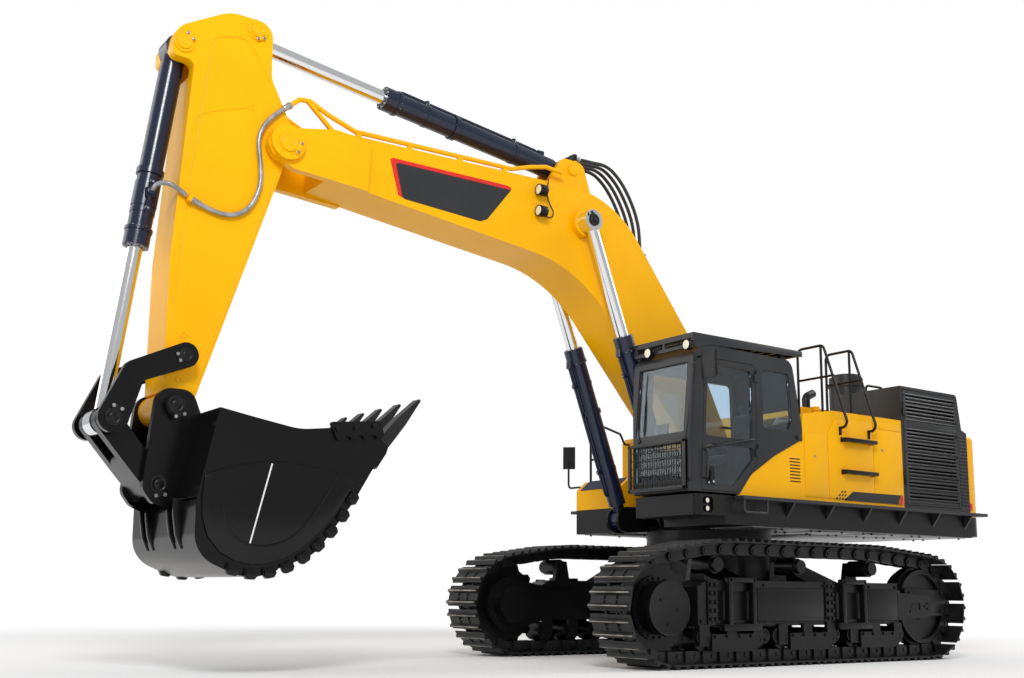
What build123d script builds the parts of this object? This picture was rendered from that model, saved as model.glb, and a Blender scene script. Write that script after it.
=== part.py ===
from build123d import *
import math
import os

# Crawler excavator of the 70 t class, parked with the boom raised and the bucket curled.
# Millimetres: X forward to the boom, Y to the cab side, Z up. Everything is laid out from the slewing
# axis at ground level and shifted along X at the end, so that the origin lies under the machine's middle.

# Track sizes
track_gauge = 2850
shoe_width = 650
shoe_pitch = 260
grouser_height = 36
shoe_plate = 16
link_height = 73
rail_depth = 55
rail_inner = 75
rail_outer = 125
sprocket_x = 2277
idler_x = -2277
sprocket_pin_radius = 519
idler_pin_radius = 539
sprocket_width = 90
tooth_depth = 78
final_drive_radius = 285
final_drive_reach = 271

# Rollers and side frame
bottom_roller_count = 9
bottom_roller_radius = 120
bottom_roller_spread = 3360
carrier_places = (1459, 91, -1215)
carrier_z = 1122
carrier_radius = 100
sag_room = 14
roller_half_width = 140
roller_shaft_radius = 42
frame_front = 1750
frame_rear = -1737
frame_half_width = 160
frame_bottom = 445
frame_top = 950
guard_thickness = 24
shaft_set_in = 4

# Car body and slewing ring
body_half_length = 900
body_half_width = 780
body_bottom = 860
body_top = 1380
leg_width = 560
leg_offset = 800
tow_reach = 110
tow_z = 1010
tow_thickness = 80
tow_bore_radius = 45
ring_radius = 800
ring_bore = 560
ring_top = 1520

# Upper structure
under_z = 1575
deck_z = 1900
house_left = 1630
house_right = -1590
platform_front = 927
platform_rear = -3340
cab_floor_front = 1790
channel_half_width = 360
foot_room = 194
bracket_plate = 40
catwalk_width = 140
catwalk_front = 1190
catwalk_rear = -3510
catwalk_plate = 40
counterweight_rear = -3760
counterweight_half_width = 1550
counterweight_top = 2990
cooling_front = -1915
cooling_rear = -3331
cooling_inner = 550
cooling_left = 1627
cooling_top = 3513
cooling_step = 3035
cover_top = 3050
hood_top = 3300
hood_front = -1000
hood_right = -1250
tank_top = 2950
tank_front = 100
step_box_top = 2300
louvre_depth = 55
louvre_border = 62
louvre_count = 22
hose_radius = 25
back_hose_radius = 22
rail_radius = 17

# Cab
cab_left = 1630
cab_right = 625
cab_floor = 1925
cab_roof = 3615
roof_fall = 25
cab_front = 1890
cab_back = 20
cab_wall = 56
sweep_depth = 42
door_gap = 6
glass_thickness = 10
glass_gap = 0.3
door_front = 1700
door_back = 806
door_sill = 20
door_head = 160
hinge_x = 792
hinge_y = 1646
knuckle_radius = 14
knuckle_half = 45
guard_rise = 111
guard_lamp_radius = 58
mirror_width = 230
mirror_stand_off = 60

# Pin places (x, z) in the parked pose
boom_foot = (50, 2400)
boom_cylinder_base = (1064, 1720)
boom_cylinder_eye = (2370, 5210)
stick_pin = (6280, 5310)
stick_cylinder_base = (2420, 5930)
stick_cylinder_eye = (6600, 6490)
bucket_cylinder_base = (7365, 6150)
rocker_pin = (7213, 2977)
link_pin = (7856, 2324)
bucket_pin = (7277, 2494)
bucket_link_pin = (7378, 1749)

# Working arm widths and plates
boom_half_width = 320
boom_tip_top = (5760, 5600)
boom_bend_top = (1866, 5672)
boom_pipe_radius = 26
boom_pipe_y = 296
boom_pipe_lift = 55
boom_lamp_radius = 62
fork_inner = 290
fork_outer = 385
fork_boss = 440
stick_half_width = 260
head_web_top = 6330
rocker_elbow = (7690, 2765)
rocker_middle_radius = 105
rocker_inner = 346
rocker_outer = 418
rocker_boss_radius = 140
link_half_width = 258
ear_inner = 265
ear_outer = 340
ear_boss = 410
ear_boss_radius = 100
bucket_half_width = 875
bucket_plate = 40
lip_edge = (5290, 2225)
lip_corner = 130
tooth_tip = (4900, 2710)
tooth_count = 5
tooth_width = 130
tooth_set_in = 4
fin_height = 70
fin_places = (300, 620)
fin_half = 24
cutter_thickness = 30
heel_thickness = 26

# Cylinders
boom_cylinder_y = 485
boom_barrel_radius = 112
boom_rod_radius = 75
boom_barrel_length = 2280
rod_depth = 250
boom_closed = 2500
stick_barrel_radius = 125
stick_rod_radius = 80
stick_barrel_length = 2580
stick_closed = 2960
bucket_barrel_radius = 115
bucket_rod_radius = 72
bucket_barrel_length = 2110
bucket_closed = 2430
eye_half_width = 80
centre_eye_half_width = 116
eye_radius = 130
pin_radius = 65
gland_collar = 10
flange_collar = 18
neck_step = 4

# Clearances
pin_gap = 0.3
side_gap = 0.5
seat_gap = 0.3


def block(x_span, y_span, z_span):
    size = [high - low for low, high in (x_span, y_span, z_span)]
    corner = (Align.MIN, Align.MIN, Align.MIN)
    return Pos(x_span[0], y_span[0], z_span[0]) * Box(*size, align=corner)


def side_plane(y):
    return Plane((0, y, 0), x_dir=(1, 0, 0), z_dir=(0, -1, 0))


def outline(points):
    # Closed face from (x, z) or (x, z, corner radius) points.
    face = Polygon(*[(point[0], point[1]) for point in points])
    for point in points:
        if len(point) == 3:
            corner = face.vertices().sort_by_distance((point[0], point[1], 0))[0]
            face = fillet(corner, point[2])
    return face


def across(face, y_from, y_to):
    # A face drawn in X and Z, extruded from one side to the other.
    return extrude(side_plane(y_to) * face, y_to - y_from, dir=(0, -1, 0))


def profile(points, y_from, y_to):
    return across(outline(points), y_from, y_to)


def turned(place, radius, y_from, y_to):
    return across(Pos(*place) * Circle(radius), y_from, y_to)


def upright(points, z_from, z_to):
    # A plan outline in X and Y, extruded upwards.
    return extrude(Plane((0, 0, z_from)) * outline(points), z_to - z_from, dir=(0, 0, 1))


def bar(start, end, radius):
    axis = Vector(*end) - Vector(*start)
    return extrude(Plane(Vector(*start), z_dir=axis) * Circle(radius), axis.length)


def pipe(points, radius, bend):
    path = FilletPolyline(*points, radius=bend)
    return sweep(Plane(path @ 0, z_dir=path % 0) * Circle(radius), path)


def strap(start, start_radius, end, end_radius, y_from, y_to):
    # A plate round two pins with straight sides between them.
    rounds = Sketch() + [Pos(*start) * Circle(start_radius), Pos(*end) * Circle(end_radius)]
    return across(make_hull(rounds.edges()), y_from, y_to)


def plan_strap(start, start_radius, end, end_radius, z_from, z_to):
    rounds = Sketch() + [Pos(*start) * Circle(start_radius), Pos(*end) * Circle(end_radius)]
    return extrude(Plane((0, 0, z_from)) * make_hull(rounds.edges()), z_to - z_from, dir=(0, 0, 1))


def hose(points, radius):
    # A tube of straight runs and arcs that take nine tenths of the shorter run beside each turn.
    places = [Vector(*point) for point in points]
    runs = [after - before for before, after in zip(places, places[1:])]
    bends = []
    for first, second in zip(runs, runs[1:]):
        half_turn = math.radians(first.get_angle(second)) / 2
        bends.append(0.45 * min(first.length, second.length) / math.tan(half_turn))
    print("hose bends", [round(bend) for bend in bends], "of radius", radius)
    path = FilletPolyline(*points, radius=bends)
    return sweep(Plane(path @ 0, z_dir=path % 0) * Circle(radius), path)


def both_sides(shape):
    return shape + mirror(shape, about=Plane.XZ)


def loose(*shapes):
    # Solids that share a node without touching.
    return Compound([solid for shape in shapes for solid in shape.solids()])


def toward(start, end, distance):
    length = math.hypot(end[0] - start[0], end[1] - start[1])
    share = distance / length
    return (start[0] + (end[0] - start[0]) * share, start[1] + (end[1] - start[1]) * share)


def between(start, end):
    return math.hypot(end[0] - start[0], end[1] - start[1])


# Tracks

track_y = track_gauge / 2
pin_height = grouser_height + shoe_plate + link_height
sprocket_z = pin_height + sprocket_pin_radius
idler_z = pin_height + idler_pin_radius
carrier_pin_radius = carrier_radius + sag_room + rail_depth


def belt_pins():
    # Pin places along the loop round sprocket, carriers and idler, taken anticlockwise.
    wheels = [
        (sprocket_x, sprocket_z, sprocket_pin_radius),
        (carrier_places[0], carrier_z, carrier_pin_radius),
        (carrier_places[-1], carrier_z, carrier_pin_radius),
        (idler_x, idler_z, idler_pin_radius),
    ]
    leaving = []
    for (x1, z1, r1), (x2, z2, r2) in zip(wheels, wheels[1:] + wheels[:1]):
        heading = math.atan2(z2 - z1, x2 - x1)
        leaving.append(heading - math.acos((r1 - r2) / math.hypot(x2 - x1, z2 - z1)))
    runs = []
    for i, (x, z, r) in enumerate(wheels):
        arriving = leaving[i - 1]
        turn = (leaving[i] - arriving) % (2 * math.pi)
        runs.append((turn * r, lambda d, x=x, z=z, r=r, a=arriving: (x + r * math.cos(a + d / r),
                                                                     z + r * math.sin(a + d / r))))
        x2, z2, r2 = wheels[(i + 1) % len(wheels)]
        begin = (x + r * math.cos(leaving[i]), z + r * math.sin(leaving[i]))
        end = (x2 + r2 * math.cos(leaving[i]), z2 + r2 * math.sin(leaving[i]))
        runs.append((between(begin, end), lambda d, b=begin, e=end: toward(b, e, d)))
    total = sum(length for length, place in runs)
    count = round(total / shoe_pitch)
    pins = []
    for i in range(count):
        distance = total * i / count
        for length, place in runs:
            if distance < length:
                pins.append(place(distance))
                break
            distance -= length
    return pins


def link_axes(pins, i):
    # Direction along link i and its outward normal.
    (x1, z1), (x2, z2) = pins[i % len(pins)], pins[(i + 1) % len(pins)]
    length = math.hypot(x2 - x1, z2 - z1)
    along = ((x2 - x1) / length, (z2 - z1) / length)
    return along, (along[1], -along[0])


def belt_outline(pins, height):
    # Loop outline at one height outward of the pin line, with a corner at each pin.
    corners = []
    for i, (x, z) in enumerate(pins):
        before, after = link_axes(pins, i - 1)[1], link_axes(pins, i)[1]
        scale = height / (1 + before[0] * after[0] + before[1] * after[1])
        corners.append((x + scale * (before[0] + after[0]), z + scale * (before[1] + after[1])))
    return Polygon(*corners)


def shoe_outline(pins):
    # Double-grouser shoes: two ribs with sloped flanks on each plate.
    plate_top = link_height + shoe_plate
    rib_top = plate_top + grouser_height
    shape = [(6, plate_top), (28, rib_top), (50, rib_top), (72, plate_top),
             (150, plate_top), (172, rib_top), (194, rib_top), (216, plate_top)]
    corners = []
    for i, (x, z) in enumerate(pins):
        along, outward = link_axes(pins, i)
        for u, v in shape:
            corners.append((x + u * along[0] + v * outward[0], z + u * along[1] + v * outward[1]))
    return Polygon(*corners)


def make_track():
    pins = belt_pins()
    shoes = shoe_outline(pins) - belt_outline(pins, link_height)
    track = across(shoes, track_y - shoe_width / 2, track_y + shoe_width / 2)
    rails = belt_outline(pins, link_height + shoe_plate / 2) - belt_outline(pins, -rail_depth)
    for side in (-1, 1):
        near, far = sorted((track_y + side * rail_inner, track_y + side * rail_outer))
        track += across(rails, near, far)
    return track


def make_sprocket():
    teeth = round(2 * math.pi * sprocket_pin_radius / shoe_pitch)
    root = sprocket_pin_radius - tooth_depth / 2
    tip = sprocket_pin_radius + tooth_depth / 2 - link_height / 3
    step = 2 * math.pi / teeth
    points = []
    for i in range(teeth):
        for share, radius in ((-0.32, root), (-0.12, tip), (0.12, tip), (0.32, root)):
            angle = (i + share) * step
            points.append((sprocket_x + radius * math.cos(angle), sprocket_z + radius * math.sin(angle)))
    half = sprocket_width / 2
    wheel = profile(points, track_y - half, track_y + half)
    centre = (sprocket_x, sprocket_z)
    flange = final_drive_radius + 60
    wheel += turned(centre, flange, track_y - half - 15, track_y + half + 30)
    wheel += turned(centre, final_drive_radius, track_y + half, track_y + final_drive_reach - 30)
    wheel += turned(centre, final_drive_radius - 35, track_y + half, track_y + final_drive_reach)
    return wheel


def make_idler():
    tread = math.sqrt(idler_pin_radius ** 2 - (shoe_pitch / 2) ** 2) - rail_depth - 3 * seat_gap
    centre = (idler_x, idler_z)
    half = rail_outer + 5
    wheel = turned(centre, tread, track_y - half, track_y + half)
    wheel += turned(centre, tread + 38, track_y - rail_inner + 12, track_y + rail_inner - 12)
    for side in (-1, 1):
        near, far = sorted((track_y + side * (half - 45), track_y + side * half))
        wheel -= turned(centre, tread - 55, near, far) - turned(centre, 165, near, far)
    wheel += turned(centre, 62, track_y - half - 60, track_y + half + 60)
    return wheel


bottom_roller_z = pin_height + rail_depth + seat_gap + bottom_roller_radius
roller_step = bottom_roller_spread / (bottom_roller_count - 1)
bottom_roller_places = [bottom_roller_spread / 2 - roller_step * i for i in range(bottom_roller_count)]
collar_half = roller_half_width + 3
collar_reach = collar_half + 46


def make_bottom_rollers():
    rollers = []
    for x in bottom_roller_places:
        centre = (x, bottom_roller_z)
        half, shaft = roller_half_width, collar_reach - shaft_set_in
        roller = turned(centre, bottom_roller_radius, track_y - half, track_y + half)
        roller += turned(centre, roller_shaft_radius, track_y - shaft, track_y + shaft)
        rollers.append(roller)
    return loose(*rollers)


def make_carrier_rollers():
    rollers = []
    for x in carrier_places:
        centre = (x, carrier_z)
        roller = turned(centre, carrier_radius, track_y - roller_half_width, track_y + roller_half_width)
        roller += turned(centre, carrier_radius - 20, track_y + roller_half_width, track_y + 197)
        roller += turned(centre, roller_shaft_radius, track_y - collar_reach + shaft_set_in, track_y)
        rollers.append(roller)
    return loose(*rollers)


def make_track_frame():
    low, high = track_y - frame_half_width, track_y + frame_half_width
    section = [(frame_rear, frame_bottom), (frame_front, frame_bottom), (frame_front, frame_top - 60),
               (frame_front - 160, frame_top), (frame_rear, frame_top)]
    frame = profile(section, low, high)
    # Recessed windows along the outer face.
    for x_from, x_to in ((840, 1620), (-240, 560), (-1120, -420), (-1640, -1240)):
        frame -= block((x_from, x_to), (high - 34, high + 1), (510, 830))
    # Final-drive plate inboard of the sprocket.
    plate_near = track_y - sprocket_width / 2 - 15 - seat_gap
    frame += strap((frame_front - 150, sprocket_z + 16), 180, (sprocket_x, sprocket_z), 330,
                   plate_near - 110, plate_near)
    motor = turned((sprocket_x, sprocket_z), 235, low - 160, plate_near - 60)
    frame += motor
    # Idler yoke with its guide slots.
    yoke_near = rail_outer + 5 + 12
    for side in (-1, 1):
        near, far = sorted((track_y + side * yoke_near, track_y + side * (yoke_near + 50)))
        arm = profile([(frame_rear + 40, idler_z - 170), (frame_rear + 40, idler_z + 170),
                       (idler_x - 110, idler_z + 130, 60), (idler_x - 110, idler_z - 130, 60)], near, far)
        arm -= turned((idler_x, idler_z), 62 + seat_gap, near, far)
        arm -= block((idler_x + 130, idler_x + 330), (near, far), (idler_z - 45, idler_z + 45))
        frame += arm
    # Hanging collars of the bottom rollers, with outer guards in three lengths.
    for x in bottom_roller_places:
        for side in (-1, 1):
            near, far = sorted((track_y + side * collar_half, track_y + side * collar_reach))
            collar = block((x - 75, x + 75), (near, far), (bottom_roller_z - 70, frame_bottom + 20))
            collar -= turned((x, bottom_roller_z), roller_shaft_radius + seat_gap, near, far)
            frame += collar
    for x in (roller_step * 3, 0, -roller_step * 3):
        frame += block((x - 330, x + 330),
                       (track_y + collar_reach - 1, track_y + collar_reach + guard_thickness),
                       (pin_height + rail_depth - 10, bottom_roller_z + 60))
    # Posts that hold the carrier rollers from inboard.
    for x in carrier_places:
        near, far = track_y - collar_reach - 20, track_y - collar_half
        post = profile([(x - 120, frame_top - 5), (x + 120, frame_top - 5), (x + 70, carrier_z + 75, 20),
                        (x - 70, carrier_z + 75, 20)], near, far)
        post += block((x - 120, x + 120), (near, near + 60), (frame_top - 80, frame_top))
        post -= turned((x, carrier_z), roller_shaft_radius + seat_gap, track_y - collar_reach, far)
        frame += post
    return frame


def make_car_body():
    body = upright([(-body_half_length, -body_half_width, 200), (body_half_length, -body_half_width, 200),
                    (body_half_length, body_half_width, 200), (-body_half_length, body_half_width, 200)],
                   body_bottom, body_top - 120)
    drum = Plane((0, 0, body_bottom)) * Circle(ring_radius + 30)
    body += extrude(drum, body_top - body_bottom, dir=(0, 0, 1))
    reach = track_y - frame_half_width
    leg = Polygon((body_half_width - 300, body_bottom), (body_half_width - 300, body_top - 150),
                  (reach, frame_top - 30), (reach, frame_bottom + 90))
    for x in (-leg_offset, leg_offset):
        section = Plane((x - leg_width / 2, 0, 0), x_dir=(0, 1, 0), z_dir=(1, 0, 0)) * leg
        body += both_sides(extrude(section, leg_width, dir=(1, 0, 0)))
    # Towing lugs, front and rear.
    for end in (-1, 1):
        x = end * (body_half_length + tow_reach)
        low, high = tow_z - tow_thickness / 2, tow_z + tow_thickness / 2
        body += plan_strap((end * (body_half_length - 150), 0), 150, (x, 0), 105, low, high)
        body -= Pos(x, 0, tow_z) * Cylinder(tow_bore_radius, tow_thickness + 2)
    return body


def make_slew_ring():
    height = ring_top - body_top
    base = Plane((0, 0, body_top))
    ring = extrude(base * (Circle(ring_radius) - Circle(ring_bore)), height, dir=(0, 0, 1))
    groove = Plane((0, 0, body_top + height * 0.55))
    ring -= extrude(groove * (Circle(ring_radius) - Circle(ring_radius - 18)), 14, dir=(0, 0, 1))
    return ring


# Upper structure

def make_platform():
    plan = [(platform_rear, house_right), (platform_front, house_right), (platform_front, -620),
            (platform_front, cab_right - 5), (cab_floor_front, cab_right - 5),
            (cab_floor_front, house_left, 60), (platform_rear, house_left)]
    deck = upright(plan, under_z, deck_z)
    # Open channel for the boom between the main plates.
    channel = (-channel_half_width, channel_half_width)
    deck -= block((100, platform_front + 1), channel, (under_z + 65, deck_z + 1))
    deck -= block((700, platform_front + 1), channel, (under_z - 1, deck_z + 1))
    # Room for the boom cylinders' feet, between two cheeks on each side.
    deck -= block((boom_cylinder_base[0] - foot_room, platform_front + 1), (-cab_right + 5, cab_right - 5),
                  (under_z - 1, deck_z + 1))
    cheek_back = (boom_cylinder_base[0] - foot_room - 90, boom_cylinder_base[1])
    eye_room = eye_half_width + side_gap
    inner_cheek = (channel_half_width, boom_cylinder_y - eye_room)
    outer_cheek = (boom_cylinder_y + eye_room, cab_right - 15)
    for near, far in (inner_cheek, outer_cheek):
        deck += both_sides(strap(cheek_back, 145, boom_cylinder_base, 165, near, far))
    # Raised underside to the front of the cab floor.
    deck -= block((platform_front + 420, cab_floor_front + 1), (0, house_left + 1), (under_z - 1, under_z + 90))
    # Recess with two lamps in the skirt under the cab.
    lamp_x = cab_floor_front - 178
    recess = profile([(lamp_x - 80, deck_z - 205, 40), (lamp_x + 80, deck_z - 205, 40), (lamp_x + 80, deck_z - 28, 40),
                      (lamp_x - 80, deck_z - 28, 40)], house_left - 34, house_left + 1)
    deck -= recess
    for z in (deck_z - 160, deck_z - 70):
        deck += turned((lamp_x, z), 30, house_left - 36, house_left - 6)
    # Main plates that carry the boom foot.
    plate = [(hood_front + 20, deck_z - 40), (boom_foot[0] - 250, boom_foot[1] + 200, 160),
             (boom_foot[0] + 230, boom_foot[1] + 230, 160), (platform_front - 60, deck_z + 20),
             (platform_front - 60, deck_z - 40)]
    near = channel_half_width
    main = profile(plate, near, near + bracket_plate)
    main += turned(boom_foot, 190, near, near + bracket_plate + 50)
    main += turned(boom_foot, pin_radius + 20, near - 95, near)
    main += turned(boom_cylinder_base, pin_radius, near, cab_right - 20)
    deck += both_sides(main)
    # Ring that sits on the slewing ring.
    deck += extrude(Plane((0, 0, ring_top + side_gap)) * (Circle(ring_radius - 10) - Circle(ring_bore + 20)),
                    under_z - ring_top - side_gap + 20, dir=(0, 0, 1))
    return deck


def make_counterweight():
    rear, half = counterweight_rear, counterweight_half_width
    weight = upright([(platform_rear, -half), (platform_rear, half), (rear, half, 260), (rear, -half, 260)],
                     under_z + 25, counterweight_top)
    top = weight.faces().sort_by(Axis.Z)[-1]
    return fillet(top.edges().filter_by(lambda edge: edge.center().X < platform_rear - 1), 70)


cooling_door_rear = cooling_rear + 205
cooling_door_front = cooling_front - 40
cooling_door_low = deck_z + 60
cooling_door_high = cooling_top - 45
cooling_hinge = (cooling_door_front + 3, cooling_left + 16)
cooling_door_height = cooling_door_high - cooling_door_low
cooling_hinge_places = [cooling_door_low + cooling_door_height * share for share in (0.2, 0.8)]


def make_cooling_box():
    shape = [(cooling_front, deck_z), (cooling_front, cooling_top), (cooling_rear + 190, cooling_top, 60),
             (cooling_rear + 110, cooling_step), (cooling_rear, cooling_step - 40), (cooling_rear, deck_z)]
    box = profile(shape, cooling_inner, cooling_left)
    box -= block((cooling_door_rear - door_gap, cooling_door_front + door_gap),
                 (cooling_left - louvre_depth - door_gap, cooling_left + 1),
                 (cooling_door_low - door_gap, cooling_door_high + door_gap))
    x, y = cooling_hinge
    for z in cooling_hinge_places:
        middle = z + 2 * knuckle_half + side_gap
        box += block((x + 4, x + 34), (cooling_left - 1, y - 4), (middle - knuckle_half, middle + knuckle_half))
        box += Pos(x, y, middle) * Cylinder(knuckle_radius, 2 * knuckle_half)
    return box


def make_cooling_door():
    x_from, x_to = cooling_door_rear, cooling_door_front
    low, high = cooling_door_low, cooling_door_high
    y_back = cooling_left - louvre_depth
    door = block((x_from, x_to), (y_back, cooling_left), (low, high))
    door -= block((x_from + louvre_border, x_to - louvre_border), (y_back - 1, cooling_left + 1),
                  (low + louvre_border, high - louvre_border))
    step = (high - low - 2 * louvre_border) / louvre_count
    for i in range(louvre_count):
        z = low + louvre_border + step * (i + 0.5)
        slat = Plane((x_from + louvre_border / 2, y_back + 4, z), x_dir=(0, 1, 0), z_dir=(1, 0, 0))
        section = Polygon((0, 12), (0, 26), (44, -12), (44, -26))
        door += extrude(slat * section, x_to - x_from - louvre_border, dir=(1, 0, 0))
    x, y = cooling_hinge
    for z in cooling_hinge_places:
        door += block((x_to - 40, x_to), (cooling_left - 1, y + 6), (z - knuckle_half, z + knuckle_half))
        door += block((x_to - 5, x), (y - 6, y + 6), (z - knuckle_half, z + knuckle_half))
        door += Pos(x, y, z) * Cylinder(knuckle_radius, 2 * knuckle_half)
    return door


def make_hood():
    hood = profile([(cooling_rear, deck_z), (cooling_rear, hood_top, 120), (hood_front - 250, hood_top, 120),
                    (hood_front, hood_top - 300, 120), (hood_front, deck_z)], hood_right, cooling_inner)
    return hood - block((-3150, -1250), (-950, 250), (deck_z - 1, 2900))


def make_engine():
    return block((-3050, -1350), (-800, 150), (deck_z, 2750))


def sweep_outline():
    back = cab_back - 20
    return outline([(back, deck_z), (back + 1130, deck_z), (back + 905, deck_z + 265, 260),
                    (back + 515, deck_z + 505, 300), (back + 60, deck_z + 720), (back, deck_z + 720)])


def make_side_covers():
    front = cab_back - 20
    cover = profile([(cooling_front, deck_z), (front, deck_z), (front, cover_top - 90, 60),
                     (front - 560, cover_top, 60), (cooling_front, cover_top)], 800, cab_left - 10)
    # Panel that sweeps forward under the cab's rear quarter.
    cover += across(sweep_outline(), cab_left - sweep_depth, cab_left - 10)
    # Two steps up the side, each a tread on two brackets.
    for z in (deck_z + 380, deck_z + 780):
        cover += block((-1290, -690), (cab_left + 15, cab_left + 85), (z, z + 36))
        for x in (-1260, -720):
            cover += block((x - 18, x + 18), (cab_left - 11, cab_left + 20), (z - 20, z + 36))
    # Filler neck with its cap.
    filler_x, filler_y = front - 620, cab_left - 320
    cover += bar((filler_x, filler_y, cover_top - 1), (filler_x, filler_y, cover_top + 70), 40)
    return cover + bar((filler_x, filler_y, cover_top + 40), (filler_x, filler_y, cover_top + 90), 50)


def make_tank():
    shape = [(hood_front, deck_z), (tank_front, deck_z), (tank_front, tank_top - 60), (tank_front - 60, tank_top),
             (hood_front, tank_top)]
    return profile(shape, house_right + 5, -640)


def make_right_cover():
    return block((cooling_rear, hood_front), (house_right + 5, hood_right), (deck_z, 3000))


def make_step_box():
    shape = [(tank_front + 1, deck_z), (platform_front, deck_z), (platform_front, step_box_top - 130, 60),
             (platform_front - 160, step_box_top, 60), (tank_front + 1, step_box_top)]
    return profile(shape, house_right, -660)


def make_catwalks():
    top, under = deck_z, deck_z - catwalk_plate
    left_edge = house_left + catwalk_width
    right_edge = -left_edge
    left = block((catwalk_rear, catwalk_front), (house_left, left_edge), (under, top))
    right = block((catwalk_rear, platform_front - 40), (right_edge, house_right), (under, top))
    for x in (-3200, -2500, -1800, -1100, -400, 300):
        at = Plane((x, 0, 0), x_dir=(0, 1, 0), z_dir=(1, 0, 0))
        foot = under - 170
        gusset = Polygon((house_left, under + 1), (left_edge - 15, under + 1), (house_left, foot))
        left += extrude(at * gusset, 30, dir=(1, 0, 0))
        gusset = Polygon((house_right, under + 1), (right_edge + 15, under + 1), (house_right, foot))
        right += extrude(at * gusset, 30,
                         dir=(1, 0, 0))
    # Loop to step up to the door.
    y = left_edge - 30
    loop = [(catwalk_front - 420, y, under + 5), (catwalk_front - 420, y, under - 145),
            (catwalk_front - 40, y, under - 145), (catwalk_front - 40, y, under + 5)]
    left += pipe(loop, 14, 40)
    return loose(left, right)


def make_climb_rail(x):
    # Starts at the side under the roof edge, curls out and up, then runs inward to a post.
    wall = cab_left - 10
    top = cover_top + 880
    rail = pipe([(x, wall, cover_top - 206), (x, wall + 155, cover_top - 206), (x, wall - 205, top),
                 (x, wall - 625, top), (x, wall - 625, cover_top)], rail_radius, 75)
    rail += bar((x, wall - 245, cover_top), (x, wall - 245, top), rail_radius - 1)
    return rail + bar((x, wall - 625, cover_top + 470), (x, wall - 50, cover_top + 470), rail_radius - 2)


def make_handrails():
    climb = [make_climb_rail(x) for x in (-678, -1230)]
    # Frame on the right step box, with a rail back to the tank.
    x, top = platform_front - 227, step_box_top + 810
    front = pipe([(x, -1560, step_box_top), (x, -1560, top), (x, -1330, top), (x, -1330, step_box_top)],
                 rail_radius, 60)
    front += bar((x, -1560, step_box_top + 310), (x, -1330, step_box_top + 310), rail_radius - 2)
    front += pipe([(x, -1445, top), (tank_front + 160, -1445, tank_top + 50), (tank_front + 80, -1445, tank_top - 90),
                   (tank_front, -1445, tank_top - 90)], rail_radius - 1, 30)
    rear = pipe([(-900, -1480, tank_top), (-900, -1480, tank_top + 800), (-250, -1480, tank_top + 800),
                 (-250, -1480, tank_top)], rail_radius, 120)
    top_x = cooling_front - 245
    grab = pipe([(top_x, 900, cooling_top), (top_x, 900, cooling_top + 130), (top_x - 360, 900, cooling_top + 130),
                 (top_x - 360, 900, cooling_top)], rail_radius, 60)
    return loose(*climb, front, rear, grab)


def make_mirrors():
    # Cab mirror ahead of the door, and a mirror on an arm beside the right step box.
    x = door_front + 25
    high = cab_roof - 130
    inner_edge = cab_left + mirror_stand_off
    mirror_reach = inner_edge + mirror_width
    stem = mirror_reach - 150
    left = upright([(x - 18, inner_edge, 14), (x + 18, inner_edge, 14), (x + 18, mirror_reach, 14),
                    (x - 18, mirror_reach, 14)], high - 300, high)
    left += pipe([(x, cab_left, high - 40), (x, stem, high - 40), (x, stem, high - 200)], 12, 40)
    x = platform_front - 60
    low = step_box_top - 75
    right = upright([(x - 60, 145 - mirror_reach), (x - 80, 120 - mirror_reach), (x + 40, -mirror_reach),
                     (x + 60, 25 - mirror_reach)], low + 270, low + 580)
    stem = 75 - mirror_reach
    right += pipe([(x, house_right, low), (x, stem, low), (x, stem, low + 400)], 14, 60)
    return loose(left, right)


def make_air_cleaner():
    # Upright can on the hood with a lip under its lid.
    x, y, radius = -2500, 290, 235
    can = bar((x, y, hood_top), (x, y, hood_top + 560), radius)
    can += bar((x, y, hood_top + 420), (x, y, hood_top + 450), radius + 14)
    can += bar((x, y, hood_top + 550), (x, y, hood_top + 600), radius - 45)
    return can


def make_exhaust():
    stack = bar((-2700, -620, hood_top), (-2700, -620, hood_top + 260), 95)
    tail = [(-2700, -620, hood_top + 200), (-2700, -620, hood_top + 430), (-2860, -620, hood_top + 500)]
    return stack + pipe(tail, 62, 80)


# Cab

roof_front = cab_front - 220
roof_back = cab_back + 150
brow_lean = 95
door_bottom = cab_floor + door_sill
door_top = cab_roof - door_head


def level(share):
    # Height in the cab, from 0 at its floor to 1 at its roof.
    return cab_floor + (cab_roof - cab_floor) * share


hinge_heights = (level(0.293), level(0.813))
belt = level(0.33)
brow = level(0.92)


def cab_space(inset, y_low, y_high):
    side = [(cab_front - inset, cab_floor + inset), (cab_front - inset, belt),
            (cab_front - brow_lean - inset, brow - inset, 90), (roof_front - inset, cab_roof - inset, 90),
            (roof_back + inset, cab_roof - roof_fall - inset, 140), (cab_back + inset, level(0.52)),
            (cab_back + inset, cab_floor + inset)]
    plan = [(cab_back + inset, y_low), (cab_front - inset, y_low, 110), (cab_front - inset, y_high, 110),
            (cab_back + inset, y_high)]
    return profile(side, y_low, y_high) & upright(plan, cab_floor, cab_roof)


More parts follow.
